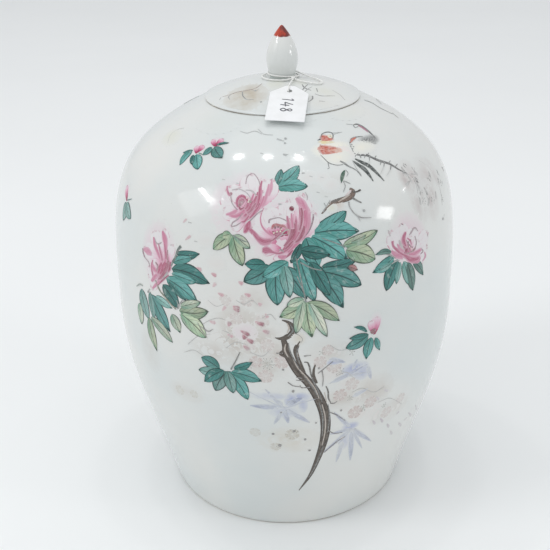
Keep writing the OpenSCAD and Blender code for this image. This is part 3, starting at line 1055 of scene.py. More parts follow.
# The painting. Places are millimetres: round the belly to the right of its front, and up the wall
# from the foot, or right and back from the lid's middle. A semicolon ends a stroke. In order:
#   wash      place, half width, half height, tone, cover
#   blossom   place, radius, tone, cover (and dot)
#   petal     heel, tip, width, depth of colour, bend
#   fleck     heel, tip, width, tones at heel and tip, covers at heel and tip
#   leaf      heel, tip, width, tone, bend
#   line      places / widths along it / tone, cover
#   stamens   place, count, reach (and specks)
WALL_PAINTING = {
    "bud_pair": {
        "wash": "-78.5 272 2.48 2.2 rose 0.75; -66.5 280 2.48 2.2 rose 0.75",
        "petal": """
    -78 269 -77 275 4.2 0.75 0.05; -78 268.5 -83 273.5 3.6 0.6 0; -65 276 -61.5 282.5 4.2 0.75 0.05;
    -65 276 -71.5 280.5 3.2 0.65 0""",
        "leaf": """
    -84 269.5 -86 258.5 5 teal 0.1; -77 268 -68 259 7 teal 0; -83.5 270 -91 266.5 2.2 deep_teal 0;
    -80 267 -75.5 261 3.5 deep_teal 0; -67 275 -70.5 268.5 4.5 teal -0.05;
    -64.5 275.5 -52.5 269 7.5 teal 0.05; -64 277 -53 280 2 deep_teal -0.08""",
        "line": "-75.8 269.2 -69.9 268.7 / 0.5 0.4 / deep_teal 1",
    },
    "side_bud": {
        "wash": "-132 228.5 2.2 3.85 rose 0.5",
        "petal": "-127.5 224 -135 231.5 5 0.7 0",
        "leaf": "-128.5 223 -128.5 211.5 8 grey_teal -0.1; -126.5 223.5 -116.5 216 8 grey_teal 0.1",
        "line": "-126.3 224.9 -120.5 227.4 / 0.7 0.4 / deep_teal 1",
    },
    "left_peony": {
        "wash": "-83.5 202.5 10.89 15.73 rose_pale 0.83",
        "petal": """
    -77.5 198 -97.5 204 13 0.18 0.1; -78.5 198 -89 217 12 0.16 0.05; -76 198.5 -80 220 10 0.21 -0.03;
    -73.5 199 -72 212.5 7 0.16 -0.08; -80 195 -90 180 10 0.26 0.1; -82 195.5 -92.5 187.5 9 0.26 0.05;
    -76.5 198.5 -84 210.5 8 0.41 0.04; -75 196 -77 208 7 0.56 -0.03; -77 194.5 -88.5 197.5 8 0.46 0.06""",
        "leaf": """
    -68.5 208 -52.5 211 6 deep_teal 0.06; -71 202 -57 207.5 6 teal -0.05;
    -72 198 -46 194.5 11 deep_teal -0.08; -72 195 -54.5 193.5 7 teal 0; -76.5 191 -55 182 11 teal -0.06;
    -75 189.5 -62 180.5 5 deep_teal 0; -79.5 186 -67.5 174 10 deep_teal -0.04;
    -90 176 -76 156.5 11 teal 0.03; -86.5 176 -73 172.5 6 grey_teal 0;
    -101 176 -95.5 157.5 10 grey_teal 0.05; -92 177 -89.5 160 6 grey_teal 0;
    -67 172.5 -47.5 176.5 9 olive 0.06; -66 171 -49 159 12 olive -0.06; -73 168.5 -67.5 158 8 pale_olive 0;
    -94.5 159 -89.5 138 8 olive 0.05; -92.5 160 -74 149 8 pale_olive -0.05;
    -66 175.5 -52 181.5 6 pale_olive 0; -104.5 165 -104 151 7 pale_olive 0""",
        "line": """
    -80.9 218.5 -78.6 214.9 -77.3 210.4 -76.9 204.4 -77.6 198 / 1.7 4.42 3.06 2.72 2.38 / rose_mid 0.92;
    -88.2 213.1 -86.4 208.6 -83.8 205 -81.1 200.8 / 1.36 3.06 2.72 1.53 / rose_mid 0.92;
    -87.2 212.7 -85.1 210.2 -82.5 210.6 -80.8 211.9 / 0.48 0.84 0.96 0.48 / petal_ink 0.72;
    -83.3 210.1 -81.2 205.7 -79.3 200.1 / 1.02 2.04 2.04 / rose_deep 0.82;
    -78.2 211.4 -77 206.9 -76.4 202.1 / 1.02 2.21 2.38 / rose_deep 0.92;
    -98.7 203.2 -98 200.9 -96.3 198.2 / 0.6 1.32 0.96 / petal_ink 0.92;
    -97.5 202.9 -93.3 203 -89.3 202.3 / 1.7 5.1 2.38 / rose_mid 0.67;
    -96.3 198.2 -92.2 196.3 -91.2 193.5 / 0.6 0.84 0.48 / petal_ink 0.72;
    -89.2 197.2 -87.3 194 -83.7 192.5 / 1.7 3.74 2.04 / rose_mid 0.87;
    -88.2 198.8 -89.2 194.7 -88.4 189.8 -86.7 185.9 / 0.85 1.7 1.7 1.02 / rose_deep 0.82;
    -74.4 202 -76 197.2 -79.3 192.6 -83.9 186.7 / 2.38 5.44 4.42 1.36 / crimson 0.82;
    -76.8 200.7 -79.3 196.3 -81.9 191.2 / 2.38 4.42 2.04 / rose_deep 0.97;
    -80.1 199.2 -81.9 195.6 -83.7 191.3 / 2.04 3.4 1.7 / rose_deep 0.97;
    -72.8 201.8 -73.5 197.9 -75.2 195 / 1.36 2.38 1.36 / crimson 0.92;
    -74.3 196.4 -76.8 192.6 -79.4 189.3 / 0.6 1.2 0.5 / ink 0.6;
    -74.4 193.3 -79.5 188.7 -85 183.1 / 0.85 1.53 0.68 / crimson 0.92;
    -89.6 184.9 -86.6 188.5 -83.7 191.3 / 1.7 3.06 1.7 / rose_mid 0.87;
    -88.9 180.5 -84.9 184.5 -81.2 188.2 / 1.36 2.38 1.36 / rose_mid 0.82;
    -75.5 208.4 -75.2 203.6 -74.3 200.2 / 0.68 1.02 0.68 / rose_deep 0.82;
    -85.5 198.4 -83.6 196.4 -84.6 192.9 / 0.85 1.19 0.68 / crimson 0.72;
    -65.6 213 -67.7 210.2 -69 206.3 -71.2 202.2 -72.3 199.4 / 1.8 1.2 1.3 1.2 0.6 / dark_ink_leaf 0.9;
    -69.7 172.7 -75.8 176.8 -82.4 181.3 -85.7 186.8 / 0.9 1 1 0.8 / olive_ink 0.9;
    -66.8 170.2 -63.3 165.9 -60 161.4 / 0.3 0.5 0.3 / olive_ink 0.6;
    -54.1 168.2 -51.6 163.5 -48.4 159.5 / 0.4 1 0.5 / olive_ink 0.8;
    -52.1 166 -47.5 163.7 -44.2 165.7 / 0.6 0.8 0.3 / faded_ink 0.7;
    -107 175.4 -102.9 178.3 -99.4 178.6 / 0.6 1 0.6 / dark_leaf 0.7;
    -68.1 175.1 -65.6 178.4 -63.3 180.9 / 0.5 0.7 0.4 / ink 0.6;
    -68.6 178.9 -67.3 175.3 -69 172.9 / 0.4 0.8 0.4 / ink 0.6;
    -92 178.9 -94.3 176.1 -91.1 177.2 / 0.5 0.6 0.4 / ink 0.5""",
    },
    "peony_upper": {
        "wash": """
    -26 241 15.13 15.73 rose 0.75; -32.5 236 7.87 7.26 rose_pale 0.68; -19.5 243 7.26 9.68 rose_pale 0.75""",
        "petal": """
    -23.5 237 -40 250.5 16 0.06 -0.08; -21.5 238.5 -26.5 260 13 0.06 0.04; -18 239 -16 257 11 0.18 0.05;
    -16 240.5 -8.5 257 10 0.14 0.06; -26 235.5 -39.5 238 12 0.18 0.05; -24 235 -33 228.5 9 0.21 0.05;
    -22.5 238.5 -32.5 251 13 0.11 0; -21 238 -16 250.5 9 0.36 0.05; -21 237.5 -29.5 246.5 8 0.51 0""",
        "fleck": "-29.5 240 -27.5 246 6.5 rose_deep rose_mid 0.75 0.75",
        "line": """
    -29.8 240.7 -30.9 243.5 -28.5 245.4 -25.6 243.9 / 3.4 4.42 4.08 3.4 / rose_deep 0.52;
    -15.8 250.7 -16.6 244.8 -18.7 239.7 / 1.7 4.42 2.72 / rose_mid 0.62;
    -18.7 246.5 -20.7 241.3 -24.1 237.2 -27.6 233.6 / 2.04 5.78 5.78 2.04 / rose_deep 0.57;
    -27.4 253.8 -27.5 257.6 -26.4 259.5 -23.7 260.6 -21.2 259.2 -18.5 256.1 -17.4 253 / 0.48 0.66 0.6 0.48
    / petal_ink 0.77;
    -16.4 256.2 -17 252.5 -16.9 248.9 -17.3 245.4 -17.9 242 -19.8 238.5 / 1.02 2.04 2.72 2.38 1.36 /
    rose_deep 0.92;
    -14.1 247.2 -15.1 243.2 -16.8 240.3 -19.7 236.8 / 1.02 2.04 1.7 / rose_mid 0.92;
    -11.3 254.4 -12 249.6 -13.9 243.2 -15.6 240.3 / 0.85 2.21 1.7 / rose_mid 0.62;
    -9.4 256.9 -9.8 252 -10.9 247.3 / 0.68 2.21 0.85 / rose_mid 0.52;
    -18.3 249.5 -19.5 245.3 -21.4 241.2 -24.1 237.2 -26.4 234.2 / 0.85 2.21 2.55 1.7 / rose_deep 0.92;
    -20.9 248.2 -22.3 244 -23.9 241.1 -26.7 237.6 -30.8 233.9 / 0.85 2.21 2.55 1.36 / rose_mid 0.97;
    -16.4 243.1 -18.6 239.1 -22.1 235 -26.1 231.5 / 0.68 1.36 0.85 / crimson 0.92;
    -14.2 239.3 -17.8 236.9 -21.3 233.4 -24.7 229.9 / 0.36 0.72 0.48 / petal_ink 0.82;
    -30.3 240.1 -31.4 242.9 -30.8 245.3 -28.7 246.6 -26.6 245.8 -24.6 243.9 -25.3 241.6 -27 239.8 / 1.02
    2.04 2.04 1.7 1.19 / rose_deep 0.97;
    -24.2 242.8 -25 239.3 -27.9 236.4 -31.5 235 -35.5 235.2 / 1.36 3.06 2.72 1.36 / rose_mid 0.92;
    -40.2 251.6 -39.5 249.2 -37.8 247 -36 246.6 / 0.85 1.53 2.21 / rose_deep 0.82;
    -36.2 246 -34.8 242.6 -32.3 240 -30.1 238.5 / 0.6 0.72 0.48 / petal_ink 0.72;
    -30.7 238.4 -33.1 236.5 -37.4 235.3 / 1.7 2.55 1.02 / rose_mid 0.72;
    -26.7 237 -29.4 233.5 -32.4 231.3 -33.1 229.3 / 0.48 0.84 0.48 / petal_ink 0.77;
    -33.1 229 -30.3 229.8 -27.4 231.7 / 0.48 0.72 0.48 / petal_ink 0.72;
    -21.9 232.8 -22.9 230 -24 227.7 -25.1 226 / 1.36 4.08 3.4 1.02 / rose_deep 0.97;
    -22.7 235.6 -25 232.7 -27.4 232 / 1.02 1.53 0.68 / rose_deep 0.92;
    -21 244.1 -22.6 240.6 -24.8 237.7 / 1.02 2.55 1.36 / rose_deep 0.87;
    -19 243 -21.2 239.5 -24.1 236.6 / 1.02 2.38 1.36 / crimson 0.72;
    -23.1 244.6 -24 241.7 -25.6 238.8 / 1.02 2.55 1.36 / rose_deep 0.87;
    -16.9 241.4 -19.2 238 -22.6 233.9 / 1.02 2.04 1.02 / rose_deep 0.92;
    -26.7 250.2 -22.5 249.9 -18.7 247.1 / 0.48 0.84 0.48 / petal_ink 0.47;
    -36.3 249.5 -31.6 250.5 -25.7 248.5 -22.5 245.2 / 0.36 0.6 0.48 / petal_ink 0.52;
    -29.8 240.7 -28.2 239.1 -25.8 240.4 / 1.02 1.53 0.68 / crimson 0.92;
    -29.5 243.6 -27.7 244.6 -26.2 243.2 / 0.85 1.36 0.68 / crimson 0.72""",
        "dot": """
    -36.4 247.2 0.9 rose_deep 0.8; -29.5 241 0.8 crimson 0.8; -22.6 243.7 0.8 crimson 0.75;
    -25.2 245.6 0.5 cream 0.8; -23.7 244.5 0.5 cream 0.8; -23.9 243.4 0.5 cream 0.8""",
    },
    "peony_lower": {
        "wash": """
    -1.5 230.5 15.73 16.94 rose 0.68; 8 232.5 7.26 12.1 rose_pale 0.9; -16.5 227 7.26 6.05 rose_pale 0.9""",
        "petal": """
    2 221.5 2 245 14 0.06 0; 4.5 221.5 10 248 13 0.16 0.06; 6 222.5 17.5 237.5 12 0.18 0.06;
    -3.5 224 -14 239.5 18 -0.04 -0.05; -6 221 -21.5 229 11 0.21 0.05; -3 218 -14 217 8 0.26 0.05;
    -1.5 217 -1 211 13 0.14 0; 1.5 217 6 216 7 0.21 0; -1.5 223 -5.5 237 13 -0.04 0;
    5.5 222.5 11.5 242.5 9 0.41 0; 4 221 8 232.5 8 0.56 0.03; -3.5 224 -5.5 231.5 14 0.68 0;
    0 225 -0.5 230.5 7 0.81 0""",
        "line": """
    11 243.5 13.1 237.8 13.2 232.2 / 1.7 4.08 2.04 / rose_mid 0.62;
    1.5 219.4 4.5 223.8 6.4 228.7 / 1.7 4.42 2.38 / crimson 0.57;
    8 223.1 10.6 227.9 12.2 234.5 11.4 241.3 / 2.04 5.44 5.44 2.38 / rose_mid 0.67;
    0.3 217.7 4.4 222.1 7.5 227 8.4 232.4 / 2.04 5.78 6.12 2.72 / rose_deep 0.57;
    -13.7 240.4 -14.8 238.1 -15.5 234.2 -14.4 230.4 -12 227.7 -9.6 226.1 -6.6 224.7 / 0.51 0.68 0.85 1.19
    1.7 1.7 / rose_mid 0.82;
    -10.3 232.1 -10 233.8 -8.5 234.4 -4.9 235.2 -2.4 234.6 0 233.5 1.2 232.1 / 0.84 1.2 0.72 0.6 0.72 0.84
    / petal_ink 0.77;
    0.6 236 1.2 232.7 1.4 229.4 1 226.1 / 0.85 2.04 2.38 1.36 / rose_deep 0.82;
    -2 217.2 2.1 221.6 5.2 226.5 5.9 231.5 6.1 235.9 / 1.36 2.72 3.06 2.04 0.85 / rose_deep 0.92;
    -0.3 217.2 3.8 221 7.5 225.9 8.9 231.3 8.7 238 8.3 241.9 / 1.36 2.55 2.72 2.04 1.36 0.68 / rose_deep
    0.92;
    0.9 216 6.2 221 9.9 226.3 11.4 232.3 11.3 239 9.2 244.7 / 1.02 2.38 3.23 3.23 2.89 1.36 / rose_mid 0.97;
    -1.4 219.4 1.5 222.7 3.4 227.1 3.5 231.5 3.4 237.6 / 1.02 2.21 2.72 2.04 0.85 / crimson 0.82;
    2.1 222.7 4.6 227.1 5.1 232.6 / 1.02 2.38 1.02 / crimson 0.92;
    6.8 222.6 9.9 226.9 12 232.3 12.4 237.8 11 242.9 8 246.5 / 1.02 2.72 3.74 3.74 3.4 1.7 / rose_mid 0.87;
    9.1 222.5 12.3 227.3 13.9 232.7 14.3 238.3 / 0.85 2.04 2.21 1.02 / rose_mid 0.62;
    9.4 223 12.9 226.7 14.9 229.9 16.5 234.2 16.7 236.5 / 0.48 0.72 0.84 0.96 0.6 / petal_ink 0.92;
    6.7 246 9.7 243 11.9 239 / 1.7 4.42 2.38 / rose_mid 0.72;
    12.9 249.2 14 246.8 13.7 244.5 / 0.36 0.6 0.36 / petal_ink 0.62;
    9.5 240.2 10 236.8 8.9 231.3 7.5 227 / 1.36 1.7 1.7 1.02 / crimson 0.87;
    10.7 230.2 9.9 226.9 7.4 223.1 4.4 221 / 1.36 2.72 2.72 1.02 / crimson 0.87;
    3.4 237.1 3.6 232.6 4 228.8 / 0.85 1.7 2.04 / rose_mid 0.82;
    -21 228.5 -18.5 225.8 -16.6 223.7 -13.6 221.8 -10.7 221.9 -7.8 223.6 / 1.36 2.72 3.06 4.42 4.08 1.7 /
    rose_deep 0.87;
    -22.9 230 -21.6 228.4 -19.7 225.7 / 1.36 2.38 1.36 / rose_deep 0.87;
    -13 221.6 -10.1 222.2 -7.2 223.3 -4.9 225 -1.9 227.2 / 0.68 1.19 1.36 1.36 0.85 / crimson 0.82;
    -13.8 217.3 -11.8 217.1 -10.1 216.9 -7.8 216.1 -4.3 215.4 -0.9 216.6 2.1 218.8 5 222.1 / 2.72 5.1 3.74
    1.53 1.36 1.53 1.7 1.02 / rose_deep 0.87;
    -0.3 213.1 2 215.2 3.8 217.4 / 0.68 1.7 0.85 / crimson 0.92;
    -4.9 213.8 -2 213.2 0.3 214.1 / 1.36 3.06 1.02 / rose_mid 0.82;
    -0.8 217.7 1.5 219.9 4.5 222.7 / 0.68 1.7 1.02 / crimson 0.92;
    -4.3 217.5 -2.6 217.2 -1.4 215.8 / 0.6 0.96 0.48 / petal_ink 0.82;
    -8.4 228.9 -7.8 230.5 -6 231.1 -3.7 230.8 -1.3 230.5 0.5 228.8 / 0.6 1.6 1.8 1.6 1.2 0.5 / red_centre
    0.9;
    -8.1 227.8 -6.3 226.4 -4.3 227.2 / 1.02 1.7 0.85 / crimson 0.97;
    -7.8 225.6 -5.4 226.7 -3.1 228.3 / 0.68 1.36 0.85 / crimson 0.82;
    -0.1 229.4 1.6 227.7 1 225.5 / 0.6 1.2 0.6 / red_centre 0.75;
    -2.5 226.1 -0.7 228 1.7 228.8 / 0.4 0.7 0.4 / olive_ink 0.5;
    -5.4 223.3 -2.5 225.6 0.4 226.1 / 0.36 0.48 0.36 / petal_ink 0.57;
    -4.6 242.8 -2.7 242.7 / 0.6 0.5 / faded_ink 0.5; 12 261 14.2 260.9 / 0.6 0.5 / faded_ink 0.5""",
        "dot": """
    3.6 240.1 1.35 crimson 1; -6.6 229.7 0.7 crimson 0.85; -4.8 230.1 0.7 crimson 0.85;
    -3.1 229.4 0.7 crimson 0.85; -7.2 226.8 0.5 cream 0.95; -5.4 227.5 0.5 cream 0.95;
    -3.4 227.6 0.5 cream 0.95; -2.8 228.9 0.5 cream 0.95""",
    },
    "pair_leaves": {
        "leaf": """
    -6 253.5 11 266 9 teal 0.08; -6 252.5 14.5 252.5 9 teal -0.08; -6.5 253.5 -3 263.5 5 teal 0.05;
    16 226 38 236 10 teal 0.06; 16 226 43.5 224 12 teal -0.05; 14.5 224.5 35 209.5 12 teal -0.04;
    11.5 224 18.5 207 11 teal 0.04; 8.5 220.5 2.5 210 6 deep_teal 0; 20 206.5 40.5 208 7 deep_teal 0.05;
    18.5 204.5 43.5 192.5 12 teal -0.05; 3.5 210 19.5 203 9 teal 0.04; 18 202.5 32 181 12 teal -0.05;
    -3 208 11 188.5 11 teal -0.04; -6 208 -5.5 185 12 teal 0.03; -9 208 -24 198.5 11 teal -0.05;
    7.5 212.5 15.5 187 10 teal 0.02; -12 209 -24 208.5 7 deep_teal 0; 1 210.5 -14 201.5 9 teal 0;
    8 217 25 213 8 deep_teal 0; 13.5 210 24.5 189 9 deep_teal 0; -1.5 209 1.5 190 8 grey_teal 0;
    33.5 217.5 56 222 8 olive 0.05; 35 214.5 53.5 206 12 olive -0.05; 38 218.5 48.5 221 5 pale_olive 0;
    36 205 41.5 202 4 rose_leaf 0; -32 224.5 -43.5 215 8 olive 0.05; -31.5 224 -25.5 208 9 olive 0.03;
    -31 224.5 -21.5 218 6 pale_olive 0; -33 225 -38.5 223 5 olive 0; 11 186 -4 177.5 10 olive -0.05;
    11 186 14 164.5 11 olive 0.04; 11.5 186 30 172.5 9 olive -0.05; 9 187.5 5 167 7 pale_olive 0;
    12.5 186 22.5 164 7 pale_olive 0; 9.5 188 0 184.5 6 pale_olive 0""",
        "line": """
    10.7 186.1 9.1 193.6 5.8 202.1 / 0.8 0.7 0.5 / dark_ink_leaf 0.8;
    -31.8 224.3 -27.3 222.5 -22.5 221.1 / 0.8 0.7 0.5 / dark_ink_leaf 0.8;
    34.5 216.3 29.2 219.2 21 222.8 / 0.8 0.7 0.5 / dark_ink_leaf 0.8;
    7.6 210.1 14.4 206.3 20.2 204.6 / 0.8 0.7 0.5 / dark_ink_leaf 0.8;
    5.4 212.5 7.5 202.6 10.2 189.8 / 0.8 0.7 0.5 / dark_ink_leaf 0.8""",
    },
    "right_peony": {
        "wash": "79 210 12.1 13.31 rose_pale 0.83",
        "petal": """
    77 203.5 66 219.5 13 0.01 -0.05; 77 203.5 74.5 222 12 -0.04 0; 78.5 203 86 217 12 0.06 0;
    79.5 202.5 98.5 210.5 12 0.01 0.06; 77 202 65 209 9 0.21 0.04; 80 201 97 201.5 10 0.16 -0.05;
    81 200 93.5 195 8 0.26 -0.05; 77 203.5 77 217 8 0.36 0; 79.5 202.5 81.5 213 8 0.36 0;
    80 201.5 88.5 208.5 8 0.21 0""",
        "leaf": """
    67 204.5 52 198.5 8 teal -0.06; 66 201 56 198.5 5 grey_teal 0; 69.5 202 61 185 10 deep_teal 0.06;
    71.5 200 68.5 187.5 5 grey_teal 0; 74.5 199.5 78.5 184 7 grey_teal -0.02;
    77.5 198 82.5 178.5 8 slate_leaf -0.02; 82.5 197 92 185.5 6 slate_leaf -0.08;
    65.5 207.5 54 208.5 3.6 slate_leaf 0.1""",
        "line": """
    66.5 213.8 66.9 210.7 69.7 207.6 73.6 204.2 78.5 201 84.6 198.5 / 2.04 1.7 2.21 2.72 3.4 2.04 /
    rose_deep 0.87;
    65.2 208.1 68.7 204.9 74.3 202.2 / 1.7 3.74 3.06 / rose_mid 0.77;
    77.9 216.3 75.8 213.9 75.4 211 77.2 207.5 / 1.7 3.4 3.4 1.7 / rose_deep 0.92;
    77.6 211.6 79.1 208.8 81.5 206.3 / 0.6 1.08 0.72 / petal_ink 0.92;
    78.6 212.6 81 210.1 81.6 207.5 / 0.85 1.36 0.85 / rose_deep 0.82;
    74.1 206.5 78.2 204.7 / 4.08 5.1 / crimson 0.92;
    77.7 203.3 81.2 203.3 84.1 204.3 85.6 205.7 / 0.8 1.5 1.5 0.8 / red_brown 0.8;
    85.4 211.9 86.3 207.9 85.1 205.2 / 0.6 1.08 0.72 / petal_ink 0.82;
    84.8 216.3 82.7 215.1 80.6 213.8 / 0.72 1.32 0.6 / petal_ink 0.72;
    83.5 216.7 86.8 216.5 88.7 214 / 0.48 0.84 0.48 / petal_ink 0.72;
    75.1 203.2 80.1 199.2 85.5 197.3 89 198.4 / 1.7 4.08 4.08 1.7 / rose_deep 0.92;
    79.4 202.5 84.8 201.6 90.7 202.2 / 1.7 3.06 2.04 / rose_mid 0.87;
    90.8 202.5 92.2 200.5 89.6 199.4 / 0.72 1.08 0.48 / petal_ink 0.82;
    83.6 196 87.5 195.7 89.5 197.6 / 1.02 2.04 1.02 / rose_mid 0.87;
    71.9 213.1 73.1 209.2 75.4 206.7 / 0.96 2.16 1.2 / petal_ink 0.52;
    70.1 211.1 72.1 207.6 75.2 205 / 1.02 2.38 1.7 / rose_mid 0.62;
    93.7 199.4 94.7 196.5 91.4 194.4 / 0.85 1.53 0.68 / rose_mid 0.62;
    64.4 220.7 65.4 217 / 0.48 0.72 / petal_ink 0.42;
    78.2 209 79.7 205.5 80.3 202.9 / 0.85 1.36 0.85 / crimson 0.72;
    74.7 208.8 76.2 206.5 / 1.36 2.04 / crimson 0.72;
    67.9 203.3 64.2 206 61.4 207.2 / 0.5 1.2 0.5 / ink 0.7;
    70.9 201.2 67.8 201.4 64.7 200.4 / 0.5 0.9 0.4 / ink 0.55""",
        "dot": """
    79.2 210 0.5 crimson 0.8; 81.1 210.7 0.5 crimson 0.8; 82.4 206 0.5 crimson 0.8;
    83.1 203.9 0.5 crimson 0.8; 81.4 205.4 0.45 cream 0.8; 79.8 207.1 0.45 cream 0.8""",
    },
    "low_bud": {
        "wash": "54 166.5 3.3 4.95 rose 0.55",
        "petal": "53 158.5 54.5 170 7 0.55 0; 52 159.5 50.5 168 5 0.5 0",
        "leaf": """
    49 159 34.5 153.5 8 teal -0.05; 51 157 48 143.5 7 teal 0.04; 54 156 57 147 4 teal 0;
    48 161.5 39.5 166.5 2.6 deep_teal 0.1; 49 159.5 37 159.5 4 deep_teal 0""",
        "dot": "52.2 160.9 2 crimson 0.85",
    },
    "low_leaves": {
        "leaf": """
    -41 139.5 -53 145 9 teal 0.05; -41 138.5 -55 135.5 8 grey_teal -0.08;
    -36.5 138.5 -45 123.5 10 grey_teal 0.05; -35 139 -24.5 120 9 teal -0.05;
    -33.5 139 -16 134.5 9 teal -0.05; -32 141.5 -21 147 5 deep_teal 0.06;
    -38.5 139 -52 128 8 deep_teal 0.05; -36 139 -33.5 124 8 grey_teal 0""",
        "line": "-27.9 153.1 -30.5 147.3 -33.9 140.6 / 0.5 0.7 0.9 / bark 0.8",
    },
    "trunk": {
        "wash": "6 163 3.3 3.3 blossom_beige 0.7",
        "line": """
    -2.3 162.4 -1.2 158.5 -0.7 154.5 1.3 149.8 4.2 144.3 7.4 139.3 11.9 133.4 16.2 126.1 19.8 117.6 22.8
    107.7 24.2 95.6 23.5 82 20.8 66.9 16.4 51.1 8.4 35.9 / 3 4 4.6 4.6 5.2 5.6 5.6 6 6.4 6.6 6.2 5.2 3.8
    2.4 0.6 / bark 1;
    -3 175.3 -0.2 174.3 2.1 172.1 3.5 168.8 1.5 165.6 -1.4 163.8 -2.6 161.1 / 0.6 1.6 3 3.8 3.4 3.2 2.6 /
    bark 1;
    -1.4 164.1 -4.3 163.4 -7.2 164 / 2.6 1.8 0.4 / bark 1;
    7.2 161.5 5.4 158.3 4.6 155.1 5.7 150.3 7.4 145.5 9.5 139.9 / 1.6 2.6 2.8 2.6 2.6 2.2 / bark 1;
    3.8 166.8 6.6 165.4 8.6 162.7 7.5 160.2 / 0.4 0.6 0.5 0.4 / faded_ink 0.8;
    9.5 147.4 11.5 147 12.7 143.8 13.6 138.9 15.5 133 / 0.5 0.9 1 1 0.8 / bark 0.95;
    16.1 145.2 15.3 142.2 15.2 138 17 132.1 / 0.8 1.3 1.6 1.6 / bark 1;
    22.8 129.2 24.2 125.3 24.7 119.9 26.5 115.8 / 0.6 1 1 0.4 / bark 0.9;
    -2.7 155.9 -4.1 153.5 -1.6 151.6 1.3 148.5 / 0.8 1.8 1.4 0.8 / bark 1;
    -0.2 173.4 0.9 170.2 -0.3 167 / 0.5 0.9 0.5 / bark_light 0.8;
    -1.2 159.8 -1.6 155.9 0.2 151.2 / 0.5 0.9 0.5 / bark_light 0.8;
    3.1 150.4 5.4 145 8.9 139.2 / 0.5 0.9 0.5 / bark_light 0.8;
    7.7 141.4 11.9 135.5 16.2 127.9 18.8 120.8 / 0.5 0.9 0.5 / bark_light 0.8;
    20.8 115.9 23.3 105.1 24 93.8 23 80.3 / 0.5 0.9 0.5 / bark_light 0.8;
    5.4 155.7 6 151 / 0.5 0.9 0.5 / bark_light 0.8; 22 124.9 23.6 117 / 0.5 0.9 0.5 / bark_light 0.8;
    1.5 172.7 3.2 168.8 0.3 165 / 0.4 0.9 0.4 / ink 0.85;
    0.5 160.5 1.4 155.1 4.2 148.4 7.1 142.2 / 0.4 0.9 0.4 / ink 0.85;
    5.7 157.6 5.4 152.4 7.1 146.2 / 0.4 0.9 0.4 / ink 0.85;
    9.5 137.8 14.3 130.3 18.1 122.4 / 0.4 0.9 0.4 / ink 0.85;
    14.2 135.3 18 126.9 20.8 117.5 / 0.4 0.9 0.4 / ink 0.85;
    18.9 117.7 21.6 106.2 22.3 88.8 / 0.4 0.9 0.4 / ink 0.85;
    24.6 115.3 26.1 104.6 25.8 91.7 / 0.4 0.9 0.4 / ink 0.85;
    23.8 79.2 20.7 63.9 15.7 49.1 / 0.4 0.9 0.4 / ink 0.85;
    8.3 136.5 4.8 137.4 / 0.6 0.5 0.3 / faded_ink 0.9; 9.5 134.6 4.8 135.3 / 0.6 0.5 0.3 / faded_ink 0.9;
    13.1 129.7 8.3 129.7 7.1 131.6 / 0.6 0.5 0.3 / faded_ink 0.9;
    0 134 3 131.4 7.1 130.5 / 0.6 0.5 0.3 / faded_ink 0.9;
    25.9 115.9 28.5 115.4 30.3 116.6 / 0.6 0.5 0.3 / faded_ink 0.9;
    -6.7 153.9 -3.8 153.9 / 0.6 0.5 0.3 / faded_ink 0.9; 9.5 151.5 13.6 151.8 / 0.6 0.5 0.3 / faded_ink 0.9;
    25 73.1 28.9 77.1 33.5 81.7 38.9 84.8 / 0.6 0.5 0.3 / faded_ink 0.9;
    26 93.4 30.5 89.8 36.2 89.2 / 0.6 0.5 0.3 / faded_ink 0.9;
    17.8 139.1 20.2 140.9 23.1 143.3 26.7 146.1 / 0.6 0.5 0.3 / faded_ink 0.9;
    20.2 140.2 20.9 135.2 20.7 129.5 / 0.6 0.5 0.3 / faded_ink 0.9;
    26.3 108.7 31.1 105.2 37.1 99.5 / 0.6 0.5 0.3 / faded_ink 0.9""",
        "dot": """
    3 127.4 0.85 faded_ink 0.75; 3.9 119.5 0.72 violet_ink 0.75; -9.9 93.1 0.91 faded_ink 0.75;
    3.7 95.4 0.85 faded_ink 0.75; -5.6 82.8 1.04 faded_ink 0.75; 11 87.6 0.78 faded_ink 0.75;
    14.5 76.8 0.78 faded_ink 0.75; -4.4 111.4 0.52 faded_ink 0.75; 33.5 108.7 0.72 faded_ink 0.75;
    17.6 101.4 0.59 faded_ink 0.75; 18.3 142.5 0.65 faded_ink 0.75; 32.8 80.9 0.65 faded_ink 0.75;
    -2.8 142.8 0.72 faded_ink 0.75""",
    },
    "bird": {
        "wash": """
    42.5 274.5 9.35 4.95 cream 0.75; 47.5 271.5 7.7 4.4 bird_pink 0.5; 43.5 269.5 7.7 3.85 cream 0.6;
    83 276 6.33 3.08 charcoal 1; 71 272.5 7.7 3.85 cream 0.35""",
        "fleck": """
    53 273 28 276.5 9.6 orange_fade orange 0.5 1; 48.5 275 30 277.5 4.5 orange breast 0.9 1;
    45 272.5 29.5 274.5 4.5 orange breast 0.8 1; 48 280 32.5 281.5 3.2 yellow yellow 0.5 0.95;
    48.5 282.5 35 284.5 6.4 orange breast 0.9 1""",
        "leaf": "45 260 39 252.5 2.2 dark_leaf 0.05",
